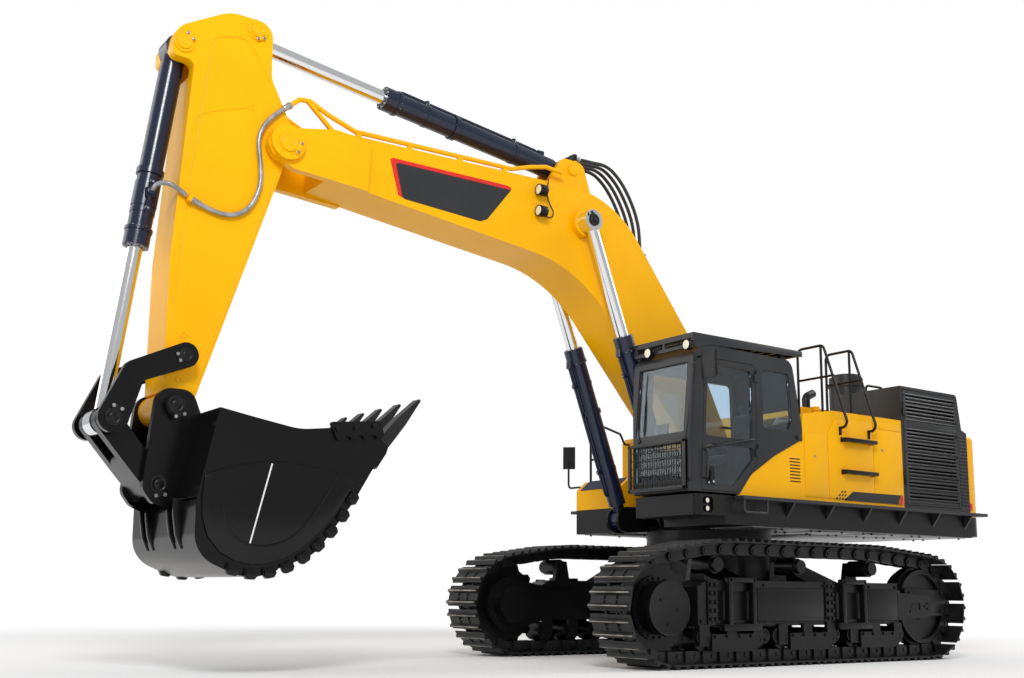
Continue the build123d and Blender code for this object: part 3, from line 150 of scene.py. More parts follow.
def makeStudio():
    makeWorld()
    for name, place, aim, size, watts in studio["lamps"]:
        bpy.ops.object.light_add(type="AREA", location=place)
        lamp = bpy.context.object
        lamp.name = name
        lamp.data.size = size
        lamp.data.energy = watts
        lamp.rotation_euler = (Vector(aim) - Vector(place)).to_track_quat("-Z", "Y").to_euler()
    makeFloor()


# paints, metals, glass and rubber

def newMaterial(name, color, rough, metal=0.0, coat=0.0):
    material = bpy.data.materials.new(name)
    material.use_nodes = True
    shader = material.node_tree.nodes["Principled BSDF"]
    shader.inputs["Base Color"].default_value = (*color, 1)
    shader.inputs["Roughness"].default_value = rough
    shader.inputs["Metallic"].default_value = metal
    shader.inputs["Coat Weight"].default_value = coat
    shader.inputs["Coat Roughness"].default_value = 0.08
    return material, material.node_tree, shader


def noiseAt(tree, scale, detail=4.0, stretch=(1, 1, 1)):
    coords = tree.nodes.new("ShaderNodeTexCoord")
    mapping = tree.nodes.new("ShaderNodeMapping")
    mapping.inputs["Scale"].default_value = stretch
    noise = tree.nodes.new("ShaderNodeTexNoise")
    noise.inputs["Scale"].default_value = scale
    noise.inputs["Detail"].default_value = detail
    tree.links.new(coords.outputs["Object"], mapping.inputs["Vector"])
    tree.links.new(mapping.outputs["Vector"], noise.inputs["Vector"])
    return noise.outputs["Fac"]


def rampOf(tree, source, stops):
    ramp = tree.nodes.new("ShaderNodeValToRGB")
    while len(ramp.color_ramp.elements) < len(stops):
        ramp.color_ramp.elements.new(0.5)
    for element, (place, color) in zip(ramp.color_ramp.elements, stops):
        element.position = place
        element.color = (*color, 1)
    tree.links.new(source, ramp.inputs["Fac"])
    return ramp.outputs["Color"]


def bumpFrom(tree, shader, source, strength, distance):
    bump = tree.nodes.new("ShaderNodeBump")
    bump.inputs["Strength"].default_value = strength
    bump.inputs["Distance"].default_value = distance
    tree.links.new(source, bump.inputs["Height"])
    tree.links.new(bump.outputs["Normal"], shader.inputs["Normal"])


def roughFrom(tree, shader, source, low, high):
    span = tree.nodes.new("ShaderNodeMapRange")
    span.inputs["To Min"].default_value = low
    span.inputs["To Max"].default_value = high
    tree.links.new(source, span.inputs["Value"])
    tree.links.new(span.outputs["Result"], shader.inputs["Roughness"])


def paint(name, light, dark, rough, coat, peel=0.05, shine=0.3):
    material, tree, shader = newMaterial(name, light, rough, 0.0, coat)
    shader.inputs["Specular IOR Level"].default_value = shine
    color = rampOf(tree, noiseAt(tree, 1.3, 5.0), [(0.35, dark), (0.62, light)])
    tree.links.new(color, shader.inputs["Base Color"])
    fine = noiseAt(tree, 34.0, 3.0)
    roughFrom(tree, shader, fine, rough * 0.75, rough * 1.35)
    bumpFrom(tree, shader, fine, peel, 0.004)
    return material


def castSteel(name, light, dark, rough, metal, grain=0.25):
    material, tree, shader = newMaterial(name, light, rough, metal)
    broad = noiseAt(tree, 6.0, 8.0)
    color = rampOf(tree, broad, [(0.36, dark), (0.6, light)])
    tree.links.new(color, shader.inputs["Base Color"])
    roughFrom(tree, shader, broad, rough * 0.7, min(1.0, rough * 1.3))
    bumpFrom(tree, shader, noiseAt(tree, 90.0, 6.0), grain, 0.004)
    return material


def chromeRod(name):
    material, tree, shader = newMaterial(name, (0.78, 0.79, 0.81), 0.12, 1.0)
    roughFrom(tree, shader, noiseAt(tree, 80.0, 2.0), 0.08, 0.2)
    return material


def cabGlass(name):
    material, tree, shader = newMaterial(name, (0.66, 0.78, 0.88), 0.0)
    shader.inputs["Transmission Weight"].default_value = 1.0
    shader.inputs["IOR"].default_value = 1.45
    return material


def weave(name, light, dark):
    material, tree, shader = newMaterial(name, light, 0.9)
    cells = noiseAt(tree, 220.0, 2.0, (1, 1, 3))
    tree.links.new(rampOf(tree, cells, [(0.35, dark), (0.65, light)]), shader.inputs["Base Color"])
    shader.inputs["Sheen Weight"].default_value = 0.3
    bumpFrom(tree, shader, cells, 0.4, 0.002)
    return material


def treadPlate(name, color):
    material, tree, shader = newMaterial(name, color, 0.5)
    coords = tree.nodes.new("ShaderNodeTexCoord")
    mapping = tree.nodes.new("ShaderNodeMapping")
    mapping.inputs["Rotation"].default_value = (0, 0, math.radians(45))
    tree.links.new(coords.outputs["Object"], mapping.inputs["Vector"])
    cells = tree.nodes.new("ShaderNodeTexVoronoi")
    cells.inputs["Scale"].default_value = 26.0
    cells.inputs["Randomness"].default_value = 0.0
    tree.links.new(mapping.outputs["Vector"], cells.inputs["Vector"])
    studs = rampOf(tree, cells.outputs["Distance"], [(0.2, (1, 1, 1)), (0.34, (0, 0, 0))])
    bumpFrom(tree, shader, studs, 0.8, 0.004)
    roughFrom(tree, shader, noiseAt(tree, 20.0), 0.35, 0.65)
    return material


def lampLens(name, color):
    material, tree, shader = newMaterial(name, color, 0.12, 0.0, 0.6)
    rings = noiseAt(tree, 120.0, 1.0, (1, 1, 4))
    tree.links.new(rampOf(tree, rings, [(0.3, color), (0.7, [0.82 * part for part in color])]),
                   shader.inputs["Base Color"])
    bumpFrom(tree, shader, rings, 0.5, 0.003)
    return material


def weightPaint(name, footTop):          # yellow with a black foot below the catwalk
    material, tree, shader = newMaterial(name, (0.9, 0.47, 0.0), 0.3, 0.0, 0.06)
    shader.inputs["Specular IOR Level"].default_value = 0.25
    coords = tree.nodes.new("ShaderNodeTexCoord")
    parts = tree.nodes.new("ShaderNodeSeparateXYZ")
    tree.links.new(coords.outputs["Object"], parts.inputs[0])
    above = tree.nodes.new("ShaderNodeMath")
    above.operation = "GREATER_THAN"
    above.inputs[1].default_value = footTop
    tree.links.new(parts.outputs["Z"], above.inputs[0])
    color = rampOf(tree, above.outputs[0], [(0.2, (0.005, 0.005, 0.006)), (0.8, (0.9, 0.44, 0.0))])
    tree.links.new(color, shader.inputs["Base Color"])
    bumpFrom(tree, shader, noiseAt(tree, 34.0, 3.0), 0.03, 0.004)
    return material


def makeMaterials():
    yellow = paint("yellowPaint", (0.9, 0.44, 0.0), (0.86, 0.41, 0.0), 0.3, 0.03, 0.03, 0.18)
    return {
        "yellow": yellow,
        "weight": weightPaint("weightPaint", 1.862),
        "black": paint("blackPaint", (0.003, 0.003, 0.0035), (0.002, 0.002, 0.0025), 0.2, 0.0, 0.01, 0.28),
        "charcoal": paint("charcoalPaint", (0.03, 0.031, 0.033), (0.022, 0.023, 0.025), 0.3, 0.0, 0.02),
        "satin": paint("satinBlack", (0.005, 0.005, 0.006), (0.003, 0.003, 0.0035), 0.32, 0.0, 0.02),
        "barrel": paint("barrelBlue", (0.007, 0.012, 0.034), (0.006, 0.01, 0.028), 0.2, 0.0, 0.005, 0.5),
        "white": paint("whiteStripe", (0.75, 0.75, 0.74), (0.68, 0.68, 0.67), 0.4, 0.0),
        "panelBlue": treadPlate("antiSlipBlue", (0.012, 0.02, 0.06)),
        "red": paint("redReflector", (0.72, 0.02, 0.012), (0.6, 0.015, 0.01), 0.25, 0.4),
        "track": castSteel("trackSteel", (0.016, 0.016, 0.017), (0.006, 0.006, 0.006), 0.4, 0.3),
        "worn": castSteel("wornGrouser", (0.4, 0.37, 0.33), (0.12, 0.11, 0.1), 0.42, 0.75, 0.4),
        "iron": castSteel("castTooth", (0.012, 0.012, 0.014), (0.005, 0.005, 0.006), 0.35, 0.2),
        "engine": castSteel("engineGrey", (0.2, 0.2, 0.2), (0.14, 0.14, 0.14), 0.6, 0.1),
        "steel": castSteel("brightSteel", (0.5, 0.5, 0.5), (0.32, 0.32, 0.33), 0.35, 0.9, 0.1),
        "belly": paint("bellyGrey", (0.34, 0.35, 0.36), (0.26, 0.27, 0.28), 0.4, 0.1),
        "chrome": chromeRod("hardChrome"),
        "mirror": chromeRod("mirrorFace"),
        "glass": cabGlass("tintedGlass"),
        "lens": lampLens("lampLens", (0.86, 0.82, 0.66)),
        "seat": weave("seatCloth", (0.06, 0.065, 0.075), (0.025, 0.028, 0.034)),
        "plastic": paint("grainedPlastic", (0.022, 0.022, 0.025), (0.014, 0.014, 0.016), 0.55, 0.0, 0.2),
        "rubber": castSteel("hoseRubber", (0.014, 0.014, 0.015), (0.008, 0.008, 0.008), 0.55, 0.0, 0.3),
        "braid": castSteel("silverBraid", (0.4, 0.41, 0.42), (0.24, 0.25, 0.26), 0.4, 0.55, 0.4),
        "tread": treadPlate("treadPlate", (0.018, 0.018, 0.02)),
    }


nodeFinish = {
    "weight": ["counterweight"],
    "yellow": ["hood", "side_covers", "right_tank", "right_cover", "step_box", "boom", "boom_pipes",
               "stick"],
    "black": ["bucket", "rocker_links", "power_link"],
    "charcoal": ["cab_shell", "cab_door", "cooling_box", "cooling_door", "roof_guard", "air_cleaner"],
    "satin": ["platform", "handrails", "mirrors", "exhaust", "front_guard", "sprocket_l", "sprocket_r",
              "idler_l", "idler_r", "bottom_rollers_l", "bottom_rollers_r", "carrier_rollers_l",
              "carrier_rollers_r", "track_frame_l", "track_frame_r", "car_body", "slew_ring"],
    "tread": ["catwalks"],
    "barrel": ["boom_barrel_l", "boom_barrel_r", "stick_barrel", "bucket_barrel"],
    "track": ["track_l", "track_r"],
    "iron": ["bucket_teeth"],
    "engine": ["engine_block"],
    "chrome": ["boom_rod_l", "boom_rod_r", "stick_rod", "bucket_rod"],
    "glass": ["cab_glass", "cab_door_glass"],
    "seat": ["operator_seat"],
    "plastic": ["console"],
    "rubber": ["boom_hoses", "tip_hose", "stick_hose"],
}


def finishNodes():
    for finish, names in nodeFinish.items():
        for name in names:
            mesh = nodes[name].data
            mesh.materials.clear()
            mesh.materials.append(materials[finish])


# workshop

def pick(*objects):
    bpy.ops.object.select_all(action="DESELECT")
    for obj in objects:
        obj.select_set(True)
    bpy.context.view_layer.objects.active = objects[0]


def editAll(piece):                  # leaves edit mode on, with everything picked
    pick(piece)
    bpy.ops.object.mode_set(mode="EDIT")
    bpy.ops.mesh.select_all(action="SELECT")


def pickFaces(piece, test):          # leaves edit mode on, with only those faces picked
    pick(piece)
    bpy.ops.object.mode_set(mode="EDIT")
    bpy.ops.mesh.select_mode(type="FACE")
    bpy.ops.mesh.select_all(action="DESELECT")
    mesh = bmesh.from_edit_mesh(piece.data)
    for face in mesh.faces:
        face.select_set(test(face))
    bmesh.update_edit_mesh(piece.data)


def leaveEdit():
    bpy.ops.object.mode_set(mode="OBJECT")


def faceOutwards():                  # from edit mode
    bpy.ops.mesh.select_all(action="SELECT")
    bpy.ops.mesh.normals_make_consistent(inside=False)
    leaveEdit()


def soften(piece, width, segments=2, angle=30):
    pick(piece)
    bevel = piece.modifiers.new("edge", "BEVEL")
    bevel.width = width
    bevel.segments = segments
    bevel.limit_method = "ANGLE"
    bevel.angle_limit = math.radians(angle)
    bpy.ops.object.modifier_apply(modifier="edge")


def dish(piece, facing, steps, edge=0.0):    # insets on the face that looks one way, then soft edges
    facing = Vector(facing)
    pickFaces(piece, lambda face: face.normal.dot(facing) > 0.9)
    for rim, deep in steps:
        bpy.ops.mesh.inset(thickness=rim, depth=deep)
    leaveEdit()
    if edge:
        soften(piece, edge)
    return piece


def skinOf(name, corners, faces):         # a bare skin, in the scene
    mesh = bpy.data.meshes.new(name)
    mesh.from_pydata([tuple(corner) for corner in corners], [], faces)
    piece = bpy.data.objects.new(name, mesh)
    scene.collection.objects.link(piece)
    return piece


def plate(name, corners, push, edge=0.0):    # a flat outline, pushed to its thickness
    piece = skinOf(name, corners, [list(range(len(corners)))])
    editAll(piece)
    bpy.ops.mesh.extrude_region_move(TRANSFORM_OT_translate={"value": push})
    faceOutwards()
    if edge:
        soften(piece, edge)
    return piece


def sidePlate(name, outline, y, thick, edge=0.0):    # outline in X and Z on a side face
    return plate(name, [at(x, y, z) for x, z in outline], (0, thick, 0), edge)


def slab(name, low, high, edge=0.0):     # a block between two corners from the slewing axis
    middle = (at(*low) + at(*high)) / 2
    size = [top - bottom for bottom, top in zip(low, high)]
    bpy.ops.mesh.primitive_cube_add(size=1, location=middle)
    piece = bpy.context.object
    piece.name = name
    editAll(piece)
    bpy.ops.transform.resize(value=size)
    leaveEdit()
    bpy.ops.object.transform_apply(location=True, rotation=True, scale=True)
    if edge:
        soften(piece, edge)
    return piece


def flank(name, side, xs, ys, zs, edge=0.0):     # a block on either side, with ys from the middle plane
    near, far = sorted(side * y for y in ys)
    return slab(name, (xs[0], near, zs[0]), (xs[1], far, zs[1]), edge)


def drum(name, start, end, radius, sides=24, edge=0.0):    # a turned piece along any line
    axis = Vector(end) - Vector(start)
    bpy.ops.mesh.primitive_cylinder_add(vertices=sides, radius=radius, depth=axis.length,
                                        location=(Vector(start) + Vector(end)) / 2,
                                        rotation=axis.to_track_quat("Z", "Y").to_euler())
    piece = bpy.context.object
    piece.name = name
    bpy.ops.object.transform_apply(location=True, rotation=True, scale=True)
    if edge:
        soften(piece, edge)
    return piece


def sideDrum(name, side, x, ys, z, radius, sides=24, edge=0.0):      # a drum across the machine
    return drum(name, at(x, side * ys[0], z), at(x, side * ys[1], z), radius, sides, edge)


def routeCurve(name, points, radius):    # one smooth line through the given control points
    curve = bpy.data.curves.new(name, "CURVE")
    curve.dimensions = "3D"
    curve.bevel_depth = radius
    curve.bevel_resolution = 3
    curve.use_fill_caps = True
    spline = curve.splines.new("NURBS")
    spline.points.add(len(points) - 1)
    for point, place in zip(spline.points, points):
        point.co = (*place, 1)
    spline.order_u = 3
    spline.use_endpoint_u = True
    spline.resolution_u = 8
    piece = bpy.data.objects.new(name, curve)
    scene.collection.objects.link(piece)
    return piece


def pipeOf(name, points, radius):        # a bent pipe, as a mesh
    pick(routeCurve(name, points, radius))
    bpy.ops.object.convert(target="MESH")
    return bpy.context.object


def merge(name, pieces):
    pick(*pieces)
    if len(pieces) > 1:
        bpy.ops.object.join()
    bpy.context.object.name = name
    return bpy.context.object


def copyAt(model, matrix):
    copy = model.copy()
    copy.data = model.data.copy()
    copy.data.transform(matrix)
    scene.collection.objects.link(copy)
    return copy


def scatter(name, model, spots):         # spots are place, facing and size
    copies = []
    for place, facing, size in spots:
        turn = Vector(facing).to_track_quat("Z", "Y").to_matrix().to_4x4()
        copies.append(copyAt(model, Matrix.Translation(place) @ turn @ Matrix.Scale(size, 4)))
    return merge(name, copies)


def drop(*pieces):
    for piece in pieces:
        bpy.data.objects.remove(piece)


def settle(piece, body, finish=None, angle=30):      # applied, shaded, painted and riding on its body
    pick(piece)
    bpy.ops.object.transform_apply(location=True, rotation=True, scale=True)
    bpy.ops.object.shade_smooth_by_angle(angle=math.radians(angle))
    if finish:
        piece.data.materials.clear()
        piece.data.materials.append(materials[finish])
    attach(piece, body)
    return piece


def makeBoltModel():                     # hex head of unit size on a washer, seen from outside
    bpy.ops.mesh.primitive_cylinder_add(vertices=6, radius=1.0, depth=0.9, location=(0, 0, 0.65))
    head = dish(bpy.context.object, (0, 0, 1), ((0.14, 0.14),))
    bpy.ops.object.transform_apply(location=True)
    bpy.ops.mesh.primitive_cylinder_add(vertices=10, radius=1.35, depth=0.25, location=(0, 0, 0.1))
    washer = bpy.context.object
    bpy.ops.object.transform_apply(location=True)
    return merge("boltModel", [head, washer])


def ringSpots(centre, facing, radius, count, size):
    turn = Vector(facing).to_track_quat("Z", "Y").to_matrix()
    spots = []
    for i in range(count):
        angle = 2 * math.pi * (i + 0.5) / count
        offset = turn @ Vector((radius * math.cos(angle), radius * math.sin(angle), 0))
        spots.append((Vector(centre) + offset, facing, size))
    return spots


# hoses: the boom's four back hoses and the silver one round the stick's pin

hoses = {
    "backY": (-0.15, -0.05, 0.05, 0.15),
    "backRadius": 0.022,
    "backRoute": ((2.345, 6.115), (2.09, 6.115), (1.82, 6.136), (1.61, 5.996), (1.45, 5.79), (1.33, 5.55),
                  (1.28, 5.31), (1.28, 5.07)),
    "backLength": 1.62,
    "backFerrule": 0.085,
    "tipY": 0.296,
    "tipRadius": 0.025,
    "tipRoute": ((6.217, 5.768), (6.43, 5.6), (6.565, 5.345), (6.512, 5.055), (6.502, 4.795), (6.64, 4.51),
                 (6.93, 4.425), (7.21, 4.545)),
    "tipLength": 1.96,
    "tipBend": ((6.5, 5.62), (6.5, 4.9)),        # where it starts and ends to follow the stick
    "tipFerrule": (0.1, 0.026),      # length and radius
    "tipRings": 26,                  # rings of the wrap from one route point to the next
    "portRoute": ((7.265, 0.296, 4.57), (7.36, 0.3, 4.63), (7.46, 0.29, 4.665), (7.545, 0.26, 4.64),
                  (7.565, 0.2, 4.59), (7.565, 0.16, 4.585)),
    "portRadius": 0.024,
    "portLength": 0.42,
    "portRings": 20,
    "groove": 0.9,                   # share of the radius in the grooves of the silver wrap
    "ribSides": 14,
    "port": (7.565, (0.1, 0.19), 4.585, 0.034),          # the barrel's oil port: X, Y, Z and radius
    "portBand": ((7.549, 0, 4.71), (7.581, 0, 4.46)),
}


def ferrule(name, route, length, radius):    # crimped collar and hex nut at the start of a route
    end = route[0]
    start = end + (route[1] - end).normalized() * length
    axis = end - start
    sleeve = drum(name, start, start + axis * 0.7, radius * 1.22, 16, 0.002)
    nut = drum(name + "Nut", start + axis * 0.6, end, radius * 1.42, 6, 0.002)
    return merge(name, [sleeve, nut])


def makeBackHoses():
    ends = []
    for i, y in enumerate(hoses["backY"]):
        route = [at(x, y, z) for x, z in hoses["backRoute"]]
        hose = routeCurve(f"backHose{i + 1}", route, hoses["backRadius"])
        hose.data.materials.append(materials["rubber"])
        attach(hose, "boom")
        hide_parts("boom_hoses")
        for way in (route, route[::-1]):
            ends.append(ferrule(f"backFerrule{i}", way, hoses["backFerrule"], hoses["backRadius"]))
    settle(merge("backHoseEnds", ends), "boom", "steel")


def lineOf(guide):                           # points along a curve, in order
    mesh = bpy.data.meshes.new_from_object(guide.evaluated_get(bpy.context.evaluated_depsgraph_get()))
    points = [vertex.co.copy() for vertex in mesh.vertices]
    bpy.data.meshes.remove(mesh)
    return points


def ribbedTube(name, points, radius):        # the wrap stands proud at every second ring
    sides = hoses["ribSides"]
    sideways = Vector((0, 1, 0))
    corners, faces = [], []
    for i, point in enumerate(points):
        along = (points[min(i + 1, len(points) - 1)] - points[max(i - 1, 0)]).normalized()
        across = along.cross(sideways).normalized()
        reach = radius if i % 2 else radius * hoses["groove"]
        for k in range(sides):
            turn = 2 * math.pi * k / sides
            corners.append(point + (across * math.cos(turn) + sideways * math.sin(turn)) * reach)
    for i in range(len(points) - 1):
        for k in range(sides):
            a, b = i * sides + k, i * sides + (k + 1) % sides
            faces.append((a, b, b + sides, a + sides))
    faces += [list(range(sides)), list(range(len(corners) - sides, len(corners)))]
    tube = skinOf(name, corners, faces)
    editAll(tube)
    faceOutwards()
    return tube


def silverHose(name, route, radius, rings):      # returns the hose and the line that it follows
    guide = routeCurve(name + "Guide", route, 0)
    guide.data.splines[0].resolution_u = rings
    bpy.context.view_layer.update()
    line = lineOf(guide)
    drop(guide)
    hose = ribbedTube(name, line, radius)
    pick(hose)
    bpy.ops.object.shade_smooth_by_angle(angle=math.radians(60))
    hose.data.materials.append(materials["braid"])
    return hose, line


def makeTipHose():
    y = hoses["tipY"]
    route = [at(x, y, z) for x, z in hoses["tipRoute"]]
    hose, line = silverHose("silverHose", route, hoses["tipRadius"], hoses["tipRings"])
    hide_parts("tip_hose", "stick_hose")
    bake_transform(hose)
    settle(ferrule("tipFerruleUpper", route, *hoses["tipFerrule"]), "boom", "steel")
    settle(ferrule("tipFerruleLower", route[::-1], *hoses["tipFerrule"]), "stick", "steel")


def makePortHose():                  # on from the stick's clamp to the bucket cylinder
    route = [at(*place) for place in hoses["portRoute"]]
    hose, line = silverHose("portHose", route, hoses["portRadius"], hoses["portRings"])
    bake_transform(hose)
    x, ys, z, radius = hoses["port"]
    port = sideDrum("barrelPort", 1, x, ys, z, radius, 20, 0.004)
    start, end = (at(*place) for place in hoses["portBand"])
    band = ring("barrelBand", start, end, 0.124, 0.014)
    settle(merge("barrelPort", [port, band]), "bucket_barrel", "barrel")


# tracks: one shoe with its links, pins and bolts, copied round the loop

track = {
    "gauge": 2.85,
    "pitch": 0.26,
    "shoeHalf": 0.325,
    "wheels": (                      # X, Z and radius of sprocket, two carriers and idler
        (2.277, 0.644, 0.519), (1.459, 1.122, 0.169), (-1.215, 1.122, 0.169), (-2.277, 0.664, 0.539)),
    "section": ((-0.006, 0.074), (-0.004, 0.086), (0.01, 0.09), (0.028, 0.125), (0.05, 0.125), (0.07, 0.092),
                (0.152, 0.092), (0.172, 0.125), (0.194, 0.125), (0.214, 0.09), (0.236, 0.089), (0.25, 0.082),
                (0.25, 0.074)),
    "grouserTop": 0.12,
    "bossRadius": 0.052,
    "railTop": (0.03, 0.074),        # where the rail leaves the boss, and its height
    "railLow": (0.02, -0.055),
    "outerCheek": (0.15, 0.101, 0.125),          # end of its rail, and from where to where across
    "innerCheek": (0.11, 0.075, 0.099),
    "pinEnd": (0.118, 0.134, 0.026),
    "boltAlong": (0.088, 0.134),
    "boltY": 0.1,
    "boltZ": (0.09, 0.108),
    "boltRadius": 0.017,
    "bushing": (0.076, 0.037),
}


def trackPins():                     # pin places round sprocket, carriers and idler
    wheels = track["wheels"]
    leaving = []
    for (x1, z1, r1), (x2, z2, r2) in zip(wheels, wheels[1:] + wheels[:1]):
        heading = math.atan2(z2 - z1, x2 - x1)
        leaving.append(heading - math.acos((r1 - r2) / math.hypot(x2 - x1, z2 - z1)))
    stretches = []                   # length of each arc and each run, and a place along it
    for i, (x, z, r) in enumerate(wheels):
        arriving = leaving[i - 1]
        turn = (leaving[i] - arriving) % (2 * math.pi)
        stretches.append((turn * r, lambda d, x=x, z=z, r=r, a=arriving: (x + r * math.cos(a + d / r),
                                                                          z + r * math.sin(a + d / r))))
        x2, z2, r2 = wheels[(i + 1) % len(wheels)]
        begin = Vector((x + r * math.cos(leaving[i]), z + r * math.sin(leaving[i])))
        end = Vector((x2 + r2 * math.cos(leaving[i]), z2 + r2 * math.sin(leaving[i])))
        run = (end - begin).length
        stretches.append((run, lambda d, b=begin, e=end, run=run: tuple(b.lerp(e, d / run))))
    total = sum(length for length, place in stretches)
    count = round(total / track["pitch"])
    pins = []
    for i in range(count):
        distance = total * i / count
        for length, place in stretches:
            if distance < length:
                pins.append(place(distance))
                break
            distance -= length
    return pins


def linkCheek(name, side, near, far, yFrom, yTo):    # half a link: a boss round a pin and a flat rail
    radius = track["bossRadius"]
    direction = 1 if far > near else -1
    outline = []
    for i in range(7):
        turn = math.radians(90 + 30 * i)
        outline.append((near + direction * radius * math.cos(turn), radius * math.sin(turn)))
    (topX, topZ), (lowX, lowZ) = track["railTop"], track["railLow"]
    outline[0] = (near + direction * topX, topZ)
    outline[-1] = (near + direction * lowX, lowZ)
    outline += [(far, lowZ), (far, topZ)]
    return plate(name, [(x, side * yFrom, z) for x, z in outline], (0, side * (yTo - yFrom), 0))


def makeTrackUnit():
    half = track["shoeHalf"]
    shoe = plate("shoe", [(x, -half, z) for x, z in track["section"]], (0, 2 * half, 0))
    shoe.data.materials.append(materials["track"])
    shoe.data.materials.append(materials["worn"])
    pickFaces(shoe, lambda face: face.normal.z > 0.9 and face.calc_center_median().z > track["grouserTop"])
    bpy.ops.mesh.inset(thickness=0.004, depth=0.0)
    shoe.active_material_index = 1
    bpy.ops.object.material_slot_assign()
    leaveEdit()
    parts = [shoe]
    for side in (-1, 1):
        parts.append(linkCheek("outerCheek", side, 0.0, *track["outerCheek"]))
        parts.append(linkCheek("innerCheek", side, track["pitch"], *track["innerCheek"]))
        near, far, radius = track["pinEnd"]
        parts.append(drum("pinEnd", (0, side * near, 0), (0, side * far, 0), radius, 10))
        y, (low, high) = side * track["boltY"], track["boltZ"]
        for x in track["boltAlong"]:
            parts.append(drum("shoeBolt", (x, y, low), (x, y, high), track["boltRadius"], 6))
    reach, radius = track["bushing"]
    parts.append(drum("bushing", (0, -reach, 0), (0, reach, 0), radius, 10))
    for part in parts[1:]:
        part.data.materials.append(materials["track"])
    return merge("trackUnit", parts)


def makeTracks():
    unit = makeTrackUnit()
    pins = trackPins()
    for name, side, node in (("trackLeft", 1, "track_l"), ("trackRight", -1, "track_r")):
        copies = []
        for i, (x, z) in enumerate(pins):
            nextX, nextZ = pins[(i + 1) % len(pins)]
            along = Vector((nextX - x, 0, nextZ - z)).normalized()
            out = Vector((along.z, 0, -along.x))
            axes = Matrix((along, out.cross(along), out)).transposed().to_4x4()
            copies.append(copyAt(unit, Matrix.Translation(at(x, side * track["gauge"] / 2, z)) @ axes))
        loop = settle(merge(name, copies), "undercarriage")
        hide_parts(node)
    drop(unit)
    print("tracks of", len(pins), "shoes")


# undercarriage bolts and final-drive covers

under = {
    "flangeBolts": (1.5, 0.316, 24, 0.016),      # face, circle, count and size
    "idlerBolts": (1.615, 0.038, 3, 0.011),
    "guardX": (1.26, 0.0, -1.26),
    "guardBolts": (-0.28, -0.1, 0.1, 0.28),      # along each roller guard
    "guardFace": 1.638,
    "guardZ": 0.335,
    "frameX": (1.7, 0.7, -0.33, -1.18, -1.69),
    "frameZ": (0.5, 0.9),
    "frameFace": 1.585,
    "hubY": (1.636, 1.712),
    "hubRadius": 0.294,
    "hubRim": ((0.012, 0.0), (0.006, -0.006)),
    "plugs": ((0.12, 0.09), (-0.12, -0.02), (0.02, -0.17)),
    "plugY": (1.696, 1.714),
    "plugRadius": 0.018,
}


def hubCap(side):                    # final-drive cover with its plugs
    x, z, radius = track["wheels"][0]
    hub = sideDrum("hubCap", side, x, under["hubY"], z, under["hubRadius"], 48)
    parts = [dish(hub, (0, side, 0), under["hubRim"], 0.008)]
    for plugX, plugZ in under["plugs"]:
        parts.append(sideDrum("hubPlug", side, x + plugX, under["plugY"], z + plugZ, under["plugRadius"], 6))
    return parts


def makeUndercarriageTrim(bolt):
    spots = []
    for side in (-1, 1):
        out = (0, side, 0)
        for wheel, bolts in ((0, "flangeBolts"), (-1, "idlerBolts")):
            x, z, radius = track["wheels"][wheel]
            face, circle, count, size = under[bolts]
            spots += ringSpots(at(x, side * face, z), out, circle, count, size)
        for x in under["guardX"]:
            for along in under["guardBolts"]:
                spots.append((at(x + along, side * under["guardFace"], under["guardZ"]), out, 0.016))
        for x in under["frameX"]:
            for z in under["frameZ"]:
                spots.append((at(x, side * under["frameFace"], z), out, 0.015))
    settle(scatter("undercarriageBolts", bolt, spots), "undercarriage", "satin")
    settle(merge("hubCaps", hubCap(-1) + hubCap(1)), "undercarriage", "satin")


sideFrame = {
    "stepsX": ((0.9, 1.34), (-1.045, -0.593)),
    "stepY": (1.583, 1.665),
    "stepZ": (0.44, 0.985),
    "stepBar": 0.06,
    "stepEdge": 0.012,
    "beamsX": ((-0.3, 0.84), (-1.76, -1.11)),
    "beamY": (1.58, 1.615),
    "beamZ": (0.49, 0.87),
    "stacks": (1.534, -0.42),        # bolted plates beside the steps
    "stackHalf": 0.075,
    "stackY": (1.58, 1.605),
    "stackZ": (0.46, 0.96),
    "stackRows": 5,
    "stackBolts": (0.52, 0.095, 0.035, 0.022),   # lowest, pitch, half the spacing and size
    "rollers": (1.7, 0.72, 0.5, -0.5, -0.8, -1.72),
    "rollerY": (1.52, 1.6),
    "rollerZ": 0.33,
    "rollerRadius": 0.085,
    "rollerRim": ((0.02, 0.0), (0.004, -0.012)),
    "rollerBolts": (1.588, 0.04, 3, 0.011),
    "yoke": ((-1.86, 0.9), (-2.66, 0.87), (-2.7, 0.8), (-2.7, 0.6), (-2.62, 0.55), (-1.86, 0.53)),
    "yokeY": (1.585, 0.022),         # inner face and thickness
    "yokeBoltX": (-1.95, -2.6),
    "yokeBoltZ": (0.6, 0.84),
}


def stepBars(side, x1, x2):          # two legs, a top bar and a floor
    (low, high), bar = sideFrame["stepZ"], sideFrame["stepBar"]
    shapes = (("stepLeg", (x1, x1 + bar), (low, high)),
              ("stepLeg", (x2 - bar, x2), (low, high)),
              ("stepTop", (x1 + 0.01, x2 - 0.01), (high - bar, high - 0.002)),
              ("stepFloor", (x1 - 0.08, x2 + 0.08), (low - 0.05, low + 0.03)))
    return [flank(name, side, xs, sideFrame["stepY"], zs, sideFrame["stepEdge"])
            for name, xs, zs in shapes]


